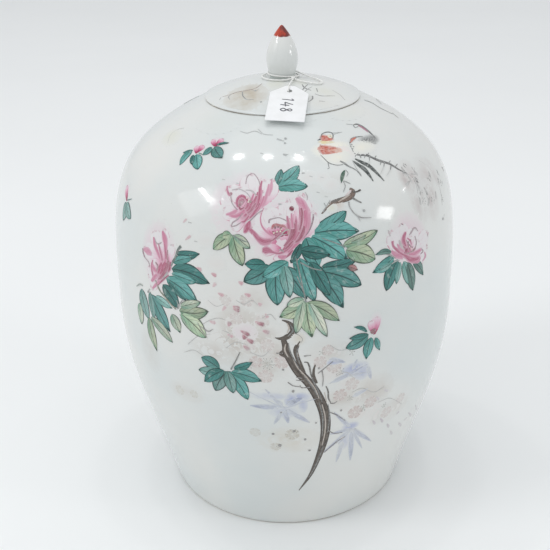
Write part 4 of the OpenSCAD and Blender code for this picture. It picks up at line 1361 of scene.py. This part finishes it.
        "line": """
    35.8 284.1 39.3 287.4 45.7 288.4 50.3 287 49 284 45.8 281.9 / 0.35 0.6 0.7 0.7 0.6 0.3 / ink 0.85;
    35.5 283.7 32.1 283 / 1.1 0.3 / ink 0.9; 50.6 285.8 57 286.4 61.9 286.5 / 0.3 0.3 0.2 / ink 0.3;
    30 272.1 32 269.4 33.9 266.8 36.8 265 41.2 263.8 45.5 263.7 / 0.3 0.5 0.6 0.5 0.4 0.3 / ink 0.8;
    34 266.8 33.5 262.6 / 0.5 0.3 / ink 0.8; 33.5 262.6 32.1 262.2 / 0.3 0.3 / ink 0.7;
    44.1 266.3 46.8 264.4 49 262.2 52.1 260.2 54.3 257.9 55.8 254.4 / 0.9 1.3 0.9 0.6 0.5 0.3 / ink 0.75;
    55 264.8 58.1 261.2 61.2 257.5 63.3 250 / 0.8 2.2 2.5 0.5 / feather 1;
    57.6 266 62.4 262.3 66.7 258.6 72 248.4 / 0.8 2.2 2.4 0.5 / feather 1;
    54.4 265.3 54.6 260.1 56.1 255.1 / 0.3 0.3 0.2 / ink 0.4;
    45.7 260 46.5 257.9 44.5 255.9 / 0.3 0.5 0.3 / ink 0.6;
    81.2 289.6 87.1 289.3 90.8 285.7 92 280.3 91.6 275.5 / 0.4 1 1.4 1.1 0.5 / ink 0.85;
    86.5 288.2 89.2 285.1 90.3 281.4 / 0.5 1.4 0.6 / crimson 0.9;
    80.6 289.3 80.7 287.5 85.4 287.5 / 0.3 0.4 0.3 / ink 0.7; 74 291.7 80.6 290.2 / 0.25 0.3 / ink 0.3;
    77.9 279.8 75.8 275.6 / 0.5 0.25 / ink 0.45; 79.5 279.3 77.1 275.2 / 0.5 0.25 / ink 0.45;
    81.2 278.8 78.4 274.7 / 0.5 0.25 / ink 0.45; 82.8 278.3 79.7 274.3 / 0.5 0.25 / ink 0.45;
    84.3 277.9 81.1 273.8 / 0.5 0.25 / ink 0.45; 86 277.3 82.3 273.4 / 0.5 0.25 / ink 0.45;
    87.6 276.8 83.7 272.9 / 0.5 0.25 / ink 0.45; 89.2 276.3 84.9 272.4 / 0.5 0.25 / ink 0.45;
    90.8 275.8 86.2 271.9 / 0.5 0.25 / ink 0.45;
    62.2 277.6 66.6 279.6 71.3 279.9 / 0.9 1.8 0.6 / orange 0.9;
    61.5 277.4 65.5 279.7 70.6 280.6 79.4 279.8 / 0.6 0.7 0.6 0.3 / ink 0.8;
    61.1 276.9 59.9 273.7 59.4 270.8 / 0.4 0.3 0.4 / ink 0.55""",
        "dot": """
    45.9 284.7 1.5 cream 1; 46 284.6 0.75 ink 1; 60.3 274.8 0.45 ink 0.6; 60.6 272.9 0.45 ink 0.6;
    62.3 275.9 0.45 ink 0.6; 62.6 274.2 0.45 ink 0.6""",
    },
    "twig": {
        "line": """
    58.5 270.2 62.4 268.3 68.8 267 72.6 264.7 76.6 261.7 85.3 256.9 89.8 252.3 95.2 248.1 / 1.8 1.4 1.8 1.5
    1.7 1.4 1 0.5 / ink 0.9;
    61 269 58.4 267.2 / 0.7 0.3 / ink 0.75; 62.1 268.5 64.2 270.1 / 0.7 0.3 / ink 0.75;
    68.4 267 66 265.2 / 0.7 0.3 / ink 0.75; 69.9 266.4 72.9 267.8 / 0.7 0.3 / ink 0.75;
    71.4 265.7 68.8 262.5 / 0.7 0.3 / ink 0.75; 74.4 263.3 77.9 264.6 / 0.7 0.3 / ink 0.75;
    79.2 260.5 75.9 258.3 / 0.7 0.3 / ink 0.75; 81.3 259.3 78 256.5 / 0.7 0.3 / ink 0.75;
    83.9 257.6 87.5 258.8 / 0.7 0.3 / ink 0.75; 85.9 256.3 82.1 253.5 / 0.7 0.3 / ink 0.75;
    88.3 254.2 92.1 255.4 / 0.7 0.3 / ink 0.75; 64.1 267.8 62.8 265.7 / 0.7 0.3 / ink 0.75;
    78 256.5 71.6 253 / 0.3 0.2 / ink 0.25; 82.1 253.5 75.8 250.8 / 0.3 0.2 / ink 0.25;
    68.8 262.5 64.4 259.8 / 0.3 0.2 / ink 0.25""",
    },
    "branch": {
        "wash": "32 240 3.85 2.75 bark_wash 0.5; 29 239 2.75 2.2 olive_wash 0.5",
        "line": """
    22.1 236.3 25.9 239.4 29.6 241.5 33.8 242.3 38.5 242.8 42.5 243.6 45.3 245.3 45.7 247 43.8 248.5 / 0.6
    1.6 2.6 3 3.2 3.2 3 2.2 1.2 / bark_warm 0.95;
    29.4 242.2 31.8 242.3 35.5 243.3 / 1.4 1.6 1.2 / bark 0.9;
    33.7 241.8 38.3 243.5 43 245 / 0.5 1 0.5 / bark_light 0.9;
    39.4 244.8 42.7 246.3 44.6 247.5 / 0.5 1.2 0.5 / petal_line 0.55;
    45.3 246.5 47.7 245.9 51.4 246.6 / 1.2 0.9 1.1 / bark 1;
    43.8 243.1 46.2 241.3 49.3 239.3 / 1.3 0.9 0.7 / bark 0.85;
    23 237.1 26.2 240.8 28.7 243.4 / 0.5 0.4 0.3 / ink 0.6; 24.4 242.1 25.4 239.7 / 0.4 0.4 / ink 0.5;
    38.6 247 41.2 250.3 41.2 253.4 45.3 251.3 / 0.4 0.4 0.5 0.3 / ink 0.6;
    40.8 241.1 40.7 238.3 42.6 234.6 45.8 231.8 49 230.8 53.8 230.1 / 0.7 0.5 0.5 0.8 0.5 0.3 / faded_ink
    0.7;
    44.6 232.9 46 229.3 / 0.4 0.3 / faded_ink 0.5""",
        "dot": "49.8 234.7 0.8 ink 0.5",
    },
    "blossom_spray": {
        "wash": """
    99.5 245 6.05 8.8 blossom 0.7; 116.5 243 8.8 7.7 blossom 0.6; 98 231.5 7.15 11 blossom 0.75;
    110.5 228 6.6 11 blossom 0.8; 90.5 245 3.3 6.6 blossom 0.8; 128 240 4.4 7.7 blossom 0.7;
    108.5 227.5 3.85 5.5 blossom 0.8; 94.5 227.5 3.3 7.7 blossom 0.6""",
        "fleck": """
    94.5 253.5 93.5 249 3.2 blossom_leaf blossom_leaf 0.75 0.4;
    94.5 250 96 245.5 3.2 blossom_leaf blossom_leaf 0.75 0.4;
    95 247 96 241.5 3.2 blossom_leaf blossom_leaf 0.75 0.4;
    104 248 106 243.5 3.2 blossom_leaf blossom_leaf 0.75 0.4;
    122 243 119 237 3.2 blossom_leaf blossom_leaf 0.75 0.4;
    106 237 107.5 230 3.2 blossom_leaf blossom_leaf 0.75 0.4;
    100.5 241 100.5 235 3.2 blossom_leaf blossom_leaf 0.75 0.4;
    119 230.5 116 224.5 3.2 blossom_leaf blossom_leaf 0.75 0.4;
    110 229.5 103 224.5 3.2 blossom_leaf blossom_leaf 0.75 0.4;
    97.5 233 96.5 227 3.2 blossom_leaf blossom_leaf 0.75 0.4;
    95.5 243.5 88 241.5 3.2 blossom_leaf blossom_leaf 0.75 0.4""",
        "line": """
    95.1 248.2 98.5 245.5 99.4 241.3 97.6 235.4 95.7 228.5 / 0.4 0.5 0.6 0.5 0.4 / faded_ink 0.7;
    117.8 251.4 124.7 244.3 126.4 236.1 127 227.9 123.9 219.2 / 0.3 0.4 0.5 0.5 0.4 / faded_ink 0.6;
    99.7 246.6 104.7 245 / 0.7 0.5 / ink 0.7""",
        "specks": """
    92.5 249 9 2.2; 100.5 242.5 10 2.48; 105.5 249 6 1.93; 119.5 239 8 2.2; 101.5 229 8 2.2;
    134.5 237.5 6 2.2; 134 231 6 2.2; 126.5 223 6 2.2; 122.5 212.5 6 2.75; 116 238.5 7 1.93;
    106.5 230.5 7 2.2; 112 226 5 2.75; 151 235 6 2.2; 94 249.5 8 1.93; 102 242.5 8 1.93; 130 233.5 6 1.93;
    101 235.5 5 2.2; 98.5 253 5 1.65""",
    },
    "iris_blades": {
        "wash": """
    7 122.5 4.95 2.75 violet 0.9; 2 120.5 3.3 4.4 violet 0.8; 9 116.5 2.2 4.4 violet 0.9;
    41 138.5 6.6 3.3 violet 0.9; 45.5 134.5 4.4 4.4 violet 0.8; 41.5 93 4.4 2.75 violet 0.8;
    27.5 145.5 4.4 1.65 violet 0.7; 39.5 81 2.75 6.6 violet 0.5; -2 111.5 7.7 3.3 violet 0.5;
    -11 123.5 8.8 2.2 violet 0.5""",
        "fleck": """
    -23.5 115.5 -2.5 115 5 violet violet_pale 0.8 0.5; -13.5 128.5 -2.5 115 4 violet violet_pale 0.64 0.4;
    0 102.5 -2.5 115 5 violet violet_pale 0.8 0.5; 13.5 102 -2.5 115 5 violet violet_pale 0.72 0.45;
    -9 101.5 -2.5 114.5 4 violet violet_pale 0.56 0.35; 9.5 122.5 -1.5 117.5 6 violet violet_pale 0.96 0.6;
    49 139.5 25 131 4 violet violet_pale 0.8 0.5; 50 133.5 34.5 134.5 3 violet violet_pale 0.64 0.4;
    42 144.5 39 137.5 3 violet violet_pale 0.64 0.4; 34.5 144 24.5 148 4 violet violet_pale 0.8 0.5;
    52.5 127.5 49 138 4 violet violet_pale 0.64 0.4; 29 108 42.5 91 3.5 violet violet_pale 0.8 0.5;
    27.5 89.5 42.5 91 4 violet violet_pale 0.8 0.5; 47.5 58.5 42.5 91 5 violet violet_pale 0.8 0.5;
    25 74 42.5 91 4 violet violet_pale 0.8 0.5; 62.5 71.5 42.5 91 4 violet violet_pale 0.8 0.5;
    34.5 78.5 42.5 91 3 violet violet_pale 0.64 0.4; 55.5 67.5 42.5 91 3 violet violet_pale 0.64 0.4;
    35.5 60.5 38 81.5 4 violet violet_pale 0.56 0.35; 51 121 40 118 4 violet violet_pale 0.56 0.35""",
        "line": """
    -2.3 115.1 -12.4 116.1 -23.4 115.7 / 0.25 0.35 0.2 / violet_ink 0.45;
    -2.3 115.1 -7.7 122.4 -13.7 128.7 / 0.25 0.35 0.2 / violet_ink 0.36;
    -2.3 115.1 -0.9 109.2 -0.2 102.4 / 0.25 0.35 0.2 / violet_ink 0.45;
    -2.3 115.1 5.8 109.2 13.6 102 / 0.25 0.35 0.2 / violet_ink 0.41;
    -2.5 114.6 -5.3 108.5 -9 101.4 / 0.25 0.35 0.2 / violet_ink 0.32;
    -1.3 117.7 4.5 120.6 9.6 122.6 / 0.25 0.35 0.2 / violet_ink 0.54;
    25.2 131 37.1 135.8 48.8 139.3 / 0.25 0.35 0.2 / violet_ink 0.45;
    34.6 134.3 42.4 134.2 49.9 133.3 / 0.25 0.35 0.2 / violet_ink 0.36;
    38.9 137.5 40.8 141.3 41.9 144.5 / 0.25 0.35 0.2 / violet_ink 0.36;
    24.3 147.9 29.7 146.3 34.4 144.1 / 0.25 0.35 0.2 / violet_ink 0.45;
    48.9 137.9 51 132.9 52.5 127.5 / 0.25 0.35 0.2 / violet_ink 0.36;
    42.4 91 35.7 100.2 28.9 108.1 / 0.25 0.35 0.2 / violet_ink 0.45;
    42.4 91 35.4 90.7 27.7 89.5 / 0.25 0.35 0.2 / violet_ink 0.45;
    42.4 91 44.9 75.8 47.3 58.7 / 0.25 0.35 0.2 / violet_ink 0.45;
    42.4 91 34.1 83.3 24.9 74.1 / 0.25 0.35 0.2 / violet_ink 0.45;
    42.4 91 52 82.2 62.4 71.5 / 0.25 0.35 0.2 / violet_ink 0.45;
    42.4 91 38.9 85.2 34.6 78.5 / 0.25 0.35 0.2 / violet_ink 0.36;
    42.4 91 48.8 80.1 55.6 67.6 / 0.25 0.35 0.2 / violet_ink 0.36;
    37.9 81.4 37.1 71.4 35.6 60.4 / 0.25 0.35 0.2 / violet_ink 0.32;
    40.1 118.2 45.8 120 50.9 121.2 / 0.25 0.35 0.2 / violet_ink 0.32;
    -25.3 126.9 -15.7 121.9 -2.5 115.4 7.2 118.2 18.2 120.9 / 0.3 0.5 0.8 0.8 0.4 / violet 0.4""",
    },
    "ground_flowers": {
        "blossom": """
    -18.5 147.5 4.4 blossom_pink 0.95; -13 138 5 blossom_pink 0.76; -3.5 148 5 blossom_pink 0.85;
    32 121 5 blossom_pink 0.95; 43.5 104.5 5.5 blossom_pink 0.95; 54 109.5 5 blossom_pink 0.85;
    27.5 142.5 5 blossom_pink 0.76; 39.5 127.5 5 blossom_pink 0.66; -23 187 4.4 blossom_pink 0.66;
    -29.5 175 4.4 blossom_pink 0.66; -14.5 174 4.4 blossom_pink 0.57; -36 185.5 3.9 blossom_pink 0.57;
    69.5 95 5 blossom_pink 0.66; 81 101.5 4.4 blossom_pink 0.57; 2.5 92.5 5 blossom_beige 0.85;
    -8.5 81.5 3.9 blossom_beige 0.66; -21.5 93.5 3.9 blossom_beige 0.47; -73 114.5 3.9 blossom_beige 0.57;
    -61.5 115.5 3.3 blossom_beige 0.57; 19 146.5 4.4 blossom_pink 0.76; 23.5 154 3.9 blossom_pink 0.76;
    -22 158.5 3.9 blossom_pink 0.57; -11.5 159 4.4 blossom_pink 0.66""",
        "stamens": """
    -11.5 146.5 14 4.4; 49 106 11 2.8; -22 144.5 6 2.2; 39 117 7 2.2; 31.5 138 7 2.8; 66 102 6 2.2;
    38.5 150 5 2.2; 4.5 95.5 5 2.2; -7 81.5 4 1.7; 20 153 5 2.2""",
    },
    "ground_haze": {
        "wash": """
    -15 147.5 7.7 6.6 blossom_pink 0.4; -7.5 144 6.6 6.05 blossom_pink 0.4;
    -21.5 179.5 8.8 8.8 blossom_pink 0.25; -32 186 7.7 8.8 blossom_pink 0.23;
    -14.5 165.5 9.9 6.6 blossom_pink 0.28; 39 115.5 8.8 6.6 blossom_pink 0.4;
    48.5 106 6.6 6.05 blossom_pink 0.4; 28 139.5 9.9 6.6 blossom_pink 0.32;
    39.5 126.5 8.25 5.5 blossom_pink 0.28; 61.5 100 7.7 6.6 blossom_pink 0.28;
    77 97.5 7.15 6.6 blossom_pink 0.23; -2 87.5 11 6.6 blossom_beige 0.28;
    -15 159 7.7 4.95 blossom_beige 0.23; -64.5 117.5 7.7 4.95 blossom_beige 0.17;
    31 151.5 7.7 6.6 blossom_pink 0.28; -44.5 155 8.8 8.8 blossom_pink 0.14;
    -32 172 4.4 2.75 blossom_pink 0.34; 25 150.5 4.95 2.75 blossom_pink 0.4; -28.5 171.5 11 9.9 haze 0.8;
    -32.5 157 14.3 7.7 haze 0.75; -15 159 12.1 9.9 haze 0.8; -43.5 150.5 13.2 6.6 haze 0.5;
    -16.5 187.5 7.7 6.6 haze 0.4; -7.5 154.5 6.6 7.7 haze 0.7; -24.5 166.5 6.6 4.95 rose_pale 0.45;
    -14 145 11 7.7 haze 0.7; 25 152.5 11 6.6 haze 0.45; 53 117.5 14.3 9.9 haze 0.6; 73 95 13.2 7.7 haze 0.5;
    1 87.5 16.5 8.8 blossom_beige 0.5; 33.5 118 8.8 6.6 haze 0.6; -68 114.5 11 5.5 haze 0.35;
    -97.5 134.5 7.7 12.1 haze 0.35; 32.5 268.5 16.5 5.5 haze 0.12; 27.5 252.5 11 6.6 haze 0.3;
    -14.5 227 7.7 7.7 haze 0.2""",
    },
    "fallen_petals": {
        "wash": """
    25 257 4.4 3.3 blossom_pink 0.25; 16.5 258 4.4 3.3 blossom_pink 0.2; 31 252 4.4 3.3 blossom_pink 0.2;
    -41.5 207 4.4 3.3 blossom_pink 0.2; -48.5 219.5 4.4 3.3 blossom_pink 0.15;
    -43 181.5 4.4 3.3 blossom_pink 0.15""",
        "fleck": """
    -31.5 182.5 -27 181 3.2 crimson_soft crimson 0.8 0.96;
    -18.5 174 -14 172 3.2 crimson_soft crimson 0.85 1; -26 165 -24 162 3.6 crimson_soft crimson 0.85 1;
    -21.5 161 -19.5 160 3.2 crimson_soft crimson 0.85 1;
    -35.5 164 -31.5 162.5 2.8 crimson_soft crimson_soft 0.5 0.6;
    -46.5 170.5 -42 170 2.8 crimson_soft crimson_soft 0.45 0.54;
    -44.5 201 -41 199.5 2.8 crimson_soft crimson_soft 0.7 0.84;
    -55 202.5 -50.5 201.5 2.8 crimson_soft crimson_soft 0.6 0.72;
    -63 217 -59 220.5 2 crimson_soft crimson_soft 0.45 0.54;
    -28 198 -25 196.5 2.8 crimson_soft crimson_soft 0.6 0.72;
    -24.5 191 -20.5 189.5 2.8 crimson_soft crimson_soft 0.6 0.72;
    -40.5 189.5 -36.5 188 2.8 crimson_soft crimson_soft 0.55 0.66;
    -66 226.5 -63.5 229.5 1.76 crimson_soft crimson_soft 0.4 0.48;
    -16.5 186 -14.5 184 2.8 crimson_soft crimson_soft 0.5 0.6;
    -43.5 192.5 -41.5 195.5 2.4 crimson_soft crimson_soft 0.4 0.48;
    -38 178.5 -35.5 182 2.4 crimson_soft crimson_soft 0.4 0.48;
    -12.5 179.5 -11 176.5 2.4 crimson_soft crimson_soft 0.5 0.6;
    65 92 69 86 2.2 violet_pink violet_pink 0.6 0.42;
    73.5 83 77.5 77.5 2.2 violet_pink violet_pink 0.5 0.35;
    81 87.5 84 89 2.2 violet_pink violet_pink 0.5 0.35; 99 80 108.5 71 2.2 violet_pink violet_pink 0.5 0.35;
    87.5 77 95 69.5 2.2 violet_pink violet_pink 0.5 0.35;
    80 73.5 85 67 2.2 violet_pink violet_pink 0.4 0.28; 96 74 100 75 2.2 violet_pink violet_pink 0.4 0.28;
    58 112.5 61 108.5 2.2 violet_pink violet_pink 0.4 0.28;
    63.5 116 67.5 113 2.2 violet_pink violet_pink 0.4 0.28;
    58.5 92.5 62 87.5 2.2 violet_pink violet_pink 0.5 0.35;
    107 82.5 119.5 70.5 2.2 violet_pink violet_pink 0.35 0.24;
    35.5 82 37.5 85 2.2 violet_pink violet_pink 0.4 0.28;
    -27.5 167.5 -21.5 164.5 3.4 crimson_soft crimson 0.7 0.9;
    -24 162.5 -19.5 160 3.4 crimson_soft crimson 0.7 0.95;
    -31.5 181 -27 180 3.4 crimson_soft crimson 0.7 0.8;
    -34.5 169 -33 172.5 3.4 crimson_soft crimson 0.7 0.6;
    -14.5 168.5 -10 167 3.4 crimson_soft crimson 0.7 0.5;
    -18 173.5 -13 172 3.4 crimson_soft crimson 0.7 0.95; -26 158 -22 155 3.4 crimson_soft crimson 0.7 0.5""",
        "line": """
    -62.1 227.7 -59.7 227.6 / 0.6 0.35 / ink 0.5; -56.3 217.8 -54.1 217.7 / 0.6 0.35 / ink 0.4;
    -34.3 254 -31.9 253.6 / 0.6 0.35 / ink 0.35; -45.4 255.4 -42.8 255.2 / 0.6 0.35 / olive_ink 0.35;
    17.5 258.8 19.7 258.1 / 0.6 0.35 / ink 0.35; 20.6 248.8 22.7 248.1 / 0.6 0.35 / ink 0.35;
    25.5 246 27.5 245.4 / 0.6 0.35 / olive_ink 0.3; -20.7 274.8 -17.9 274.3 / 0.6 0.35 / ink 0.4;
    -1 273.6 1.6 273 / 0.6 0.35 / ink 0.45; 25.3 257.6 27.5 256.9 / 0.6 0.35 / faded_ink 0.3;
    -55.7 162.5 -48.6 169.4 -41.4 173.4 -35.8 173 / 0.3 0.5 0.4 0.2 / faded_ink 0.42;
    -62.1 151.4 -54.5 158.8 -46.3 162 / 0.3 0.5 0.4 0.2 / faded_ink 0.42;
    -36.5 154.5 -30.1 159.4 -23 158.2 / 0.3 0.5 0.4 0.2 / faded_ink 0.42;
    -29.4 186.4 -24.7 184.4 -20 187.2 -16.6 184.4 / 0.3 0.5 0.4 0.2 / faded_ink 0.42;
    -38.5 166.1 -33.6 164.2 -36.3 159.1 / 0.3 0.5 0.4 0.2 / faded_ink 0.42;
    -14.4 176.3 -9.8 179 -6.4 175.3 / 0.3 0.5 0.4 0.2 / faded_ink 0.42;
    -21.9 153.7 -14.9 151.6 -10.2 155.8 / 0.3 0.5 0.4 0.2 / faded_ink 0.42;
    -46.8 183.9 -41.8 181 -36.7 183 / 0.3 0.5 0.4 0.2 / faded_ink 0.42;
    -65.5 144.9 -57.9 148.5 -51.1 146.1 / 0.3 0.5 0.4 0.2 / faded_ink 0.42;
    24.8 157.1 30.9 152.8 38.5 153.4 / 0.3 0.5 0.4 0.2 / faded_ink 0.42;
    39.9 121.3 46.6 122.5 55.8 116.6 63.3 118.5 / 0.3 0.5 0.4 0.2 / faded_ink 0.42;
    60.3 107 70.4 106.2 85.1 94.4 / 0.3 0.5 0.4 0.2 / faded_ink 0.42;
    28.8 135.4 35.1 137 40.5 131.5 / 0.3 0.5 0.4 0.2 / faded_ink 0.42""",
    },
    "shoulder_sketches": {
        "wash": """
    -121.5 272.5 6.6 4.95 olive_wash 0.5; 8.5 304 14.3 4.4 olive_wash 0.12;
    -87 293.5 12.1 6.6 olive_wash 0.1; 96.5 299.5 11 4.4 olive_wash 0.12""",
        "line": """
    -118.4 268.1 -126 273.3 -125.9 278 -119.4 281.6 / 0.3 0.5 0.4 0.2 / olive_ink 0.25;
    -203 284.8 -206.6 289.6 -206.5 296 / 0.5 0.6 0.3 / faded_ink 0.5;
    -48.4 290.2 -39.6 289.2 -31.8 291.3 -23.3 289.2 / 0.3 0.6 0.5 0.3 / faded_ink 0.35;
    -29.2 293.1 -21.2 289.3 -11.6 288.7 / 0.3 0.5 0.3 / faded_ink 0.35;
    -7.2 285.6 -3.3 284.8 -0.4 284 / 0.9 0.7 0.4 / ink 0.5; -1.4 274.3 2.8 273.9 / 0.6 0.3 / ink 0.35;
    154.6 301 159.9 295.6 157.2 289.8 160.9 281.2 / 0.3 0.6 0.5 0.3 / faded_ink 0.5;
    196.4 290 177.9 288.7 / 0.4 0.3 / faded_ink 0.4; 164.6 281.2 160.1 276.7 / 0.5 0.3 / faded_ink 0.4;
    50.5 287.1 58.2 286.5 / 0.3 0.2 / faded_ink 0.3""",
        "dot": "1.2 285.9 0.7 ink 0.5; 0.5 282.4 0.6 ink 0.4",
    },
}
LID_PAINTING = {
    "lid_painting": {
        "wash": """
    -22.5 -26 11 13.2 lid_haze 1; -4.5 -14.5 4.4 6.6 olive_wash 0.5; 25.5 -21 7.7 7.7 olive_wash 0.3;
    22 -34.5 8.8 6.6 blossom_beige 0.2; 10.5 -10.5 4.4 5.5 olive_wash 0.25""",
        "line": """
    -37.1 -18.2 -32.8 -18.7 -27.3 -18.1 -21.8 -18.9 -16.3 -17.7 -12.6 -11.7 / 0.4 0.7 1 0.9 0.8 0.4 /
    bark_warm 0.85;
    -24.5 -19.7 -24.1 -25.2 -21.6 -30.5 -17.4 -31.9 / 0.9 0.7 0.6 0.3 / ink 0.7;
    -31.6 -18.9 -33 -21.3 -32 -25.2 / 0.6 0.8 0.4 / ink 0.55; -37.7 -18.4 -38.6 -21.2 / 0.6 0.4 / ink 0.45;
    -19.9 -18.3 -16.3 -22 -14.4 -19.1 / 0.4 0.5 0.3 / bark_warm 0.6;
    11.8 -14.7 13.4 -19.7 17 -22.3 / 0.8 1 0.6 / ink 0.8;
    11.8 -22.8 14.2 -16.5 15.5 -13.7 / 0.7 0.7 0.4 / ink 0.7;
    13.3 -24.5 15.2 -20.7 17.8 -16.9 / 0.6 0.6 0.4 / ink 0.6; 20.5 -18.2 20.9 -23 / 0.9 0.5 / ink 0.65;
    17.6 -29 17.4 -32.4 14.9 -36.1 / 0.9 0.8 0.3 / ink 0.75;
    19.2 -26.1 23.4 -27.1 31.4 -23.3 / 0.6 0.7 0.3 / faded_ink 0.8;
    21.3 -33.5 24.9 -32.8 / 0.7 0.4 / faded_ink 0.6;
    1 -4.7 7.7 -7.4 14.3 -11.5 / 0.4 0.5 0.4 / faded_ink 0.4;
    30.1 -15.6 34.7 -19.9 37.4 -24.7 / 0.3 0.5 0.3 / faded_ink 0.5""",
        "dot": "-13.2 -35.7 0.7 ink 0.55; -16.6 -21.6 0.8 ink 0.6",
    },
}

# How far each layer stands off the wall and how deep it is, in millimetres
LAYERS = {
    "ground_haze": (0.02, 0.03),
    "ground_flowers": (0.06, 0.08),
    "iris_blades": (0.06, 0.08),
    "fallen_petals": (0.1, 0.1),
    "blossom_spray": (0.05, 0.25),
}
LID_LAYER = (0.04, 0.12)


def strokes(kind, text):
    """The strokes that a list says, each as the values its own kind takes"""
    items = []
    for stroke in text.split(";"):
        parts = [
            [word if word in TONES else float(word) for word in part.split()]
            for part in stroke.split("/")
        ]
        if kind == "line":
            spots, widths, rest = parts
            parts = [[list(zip(spots[::2], spots[1::2])), widths, *rest]]
        items.append(tuple(parts[0]))
    return items


def read_painting(painting):
    return {
        name: {kind: strokes(kind, text) for kind, text in motif.items()}
        for name, motif in painting.items()
    }


def painted(name, motif, body="jar", on=on_wall, step=wall_step, layer=(0.12, 0.3)):
    painter = Painter(name, body, on, step, "porcelain", *layer)
    painter.paint(motif)
    painter.join()


WALL_PAINTING, LID_PAINTING = read_painting(WALL_PAINTING), read_painting(LID_PAINTING)
for name, motif in WALL_PAINTING.items():
    painted("painted_" + name, motif, layer=LAYERS.get(name, (0.12, 0.3)))
for name, motif in LID_PAINTING.items():
    painted("painted_" + name, motif, "lid", on_lid, lid_step, LID_LAYER)


def moved(kind, item, right, up):
    """The same stroke, laid farther round or up the jar"""
    if kind == "line":
        return ([(x + right, s + up) for x, s in item[0]], *item[1:])
    if kind in ("leaf", "petal", "fleck"):
        return (item[0] + right, item[1] + up, item[2] + right, item[3] + up, *item[4:])
    return (item[0] + right, item[1] + up, *item[2:])


BACK_SPRAYS = (
    ("bud_pair", 270, -40),
    ("low_leaves", 385, 70),
    ("low_bud", 205, 55),
    ("blossom_spray", 170, -45),
    ("side_bud", 470, 10),
)
for number, (name, right, up) in enumerate(BACK_SPRAYS):
    spray = {
        kind: [moved(kind, item, right, up) for item in items]
        for kind, items in WALL_PAINTING[name].items()
    }
    painted(f"back_spray_{number}", spray)


# The ticket's number, written from its hole down. Each stroke is drawn in a box one wide and high
DIGITS = (
    [(0.25, 0.8), (0.6, 1.0), (0.5, 0.5), (0.45, 0.0)],
    [(0.5, 1.0), (0.3, 0.65), (0.1, 0.32), (0.5, 0.36), (0.95, 0.4)],
    [(0.72, 0.7), (0.68, 0.3), (0.62, -0.05)],
    [(0.75, 0.85), (0.5, 1.0), (0.25, 0.8), (0.5, 0.55), (0.8, 0.3)]
    + [(0.5, 0.02), (0.2, 0.25), (0.5, 0.55), (0.75, 0.85)],
)
PEN_STARTS = (5.6, 0.8, 0.8, -4.8)
DIGIT_FOOT, DIGIT_TALL, DIGIT_WIDE, PEN_WIDTHS = -3.7, 7.0, 4.6, [0.6, 0.8, 0.6]


def on_card(start, right, up, proud):
    x, y = start[0] + right, start[1] + up
    top = CARD_T * MM + np.array(proud) * MM * 0.6
    local = np.stack([x * MM, y * MM, top, np.ones_like(x)], 1)
    return (local @ np.array(card_place()).T)[:, :3] / MM


pen = Painter("ticket_number", "tag", on_card, lid_step, "card")
for digit, start in zip(DIGITS, PEN_STARTS):
    spots = [(DIGIT_FOOT + DIGIT_TALL * up, start - DIGIT_WIDE * right) for right, up in digit]
    pen.line(spots, PEN_WIDTHS, "ink", 1.0)
pen.join()
for used in (LEAF_SHAPE, PETAL_SHAPE, FLECK_SHAPE, STROKE_SHAPE, LONG_SHAPE, ROUND_SHAPE, DOT_SHAPE):
    bpy.data.objects.remove(used["piece"])

# ---------------------------------------------------------------- floor and light


def make_floor():
    deselect()
    bpy.ops.mesh.primitive_plane_add(size=8, location=(0, 0, 0))
    floor = bpy.context.object
    floor.name = "floor"
    f = Finish("matt white floor", Roughness=0.75)
    cloud = f.noise(f.place(), 3, 3)
    f.set(Base_Color=f.mix(cloud, srgb(243, 245, 245), srgb(238, 240, 240)))
    floor.data.materials.append(f.material)


# The middle of the jar, and places on its wall where the lamps shine in the glaze
MIDDLE = (0, 0, 0.17)
RIGHT_SHINE, LEFT_SHINE = Vector((0.056, -0.087, 0.226)), Vector((-0.045, -0.086, 0.238))
SHOULDER_SHINE = Vector((-0.01, -0.075, 0.256))


def softbox(name, where, size, watts, aim=MIDDLE, tall=None, along=(1, 0, 0)):
    """A flat lamp that faces its aim, with its long side along a given way"""
    data = bpy.data.lights.new(name, "AREA")
    data.shape, data.size, data.size_y = "RECTANGLE", size, tall or size
    data.energy = watts
    lamp = bpy.data.objects.new(name, data)
    bpy.context.scene.collection.objects.link(lamp)
    lamp.location = where
    back = (Vector(where) - Vector(aim)).normalized()
    up = back.cross(Vector(along)).normalized()
    lamp.rotation_euler = Matrix((up.cross(back), up, back)).transposed().to_euler()


def make_light():
    world = bpy.data.worlds.new("white room")
    bpy.context.scene.world = world
    world.use_nodes = True
    sky = world.node_tree.nodes["Background"]
    sky.inputs["Color"].default_value = (0.965, 0.98, 1.0, 1)
    sky.inputs["Strength"].default_value = 0.71
    softbox("ceiling", (0.0, -0.1, 2.6), 2.2, 8)
    softbox("left window", (-2.2, -0.9, 1.7), 1.2, 6)
    ahead = Vector((0.915, -0.307, 0.261)) * 2.3
    softbox("right window", RIGHT_SHINE + ahead, 0.5, 5, MIDDLE, 0.42)
    for k, way in enumerate([(-0.33, 0.141, 0.933), (-0.114, 0.076, 0.991), (0.12, 0.057, 0.991)]):
        where = SHOULDER_SHINE + Vector(way) * 2.4
        softbox(f"ceiling panel {k}", where, 0.13, 2.0, SHOULDER_SHINE, 0.07)
    where = LEFT_SHINE + Vector((-0.702, -0.275, 0.657)) * 2.2
    softbox("side panel", where, 0.6, 6, LEFT_SHINE, 0.09, (0.024, -0.299, -0.101))
    where = RIGHT_SHINE + Vector((0.927, 0.104, 0.36)) * 2.2
    softbox("right glint", where, 0.07, 0.3, RIGHT_SHINE, 0.035, (0, 1, 1))


make_floor()
make_light()
bpy.context.scene.view_settings.view_transform = "Standard"
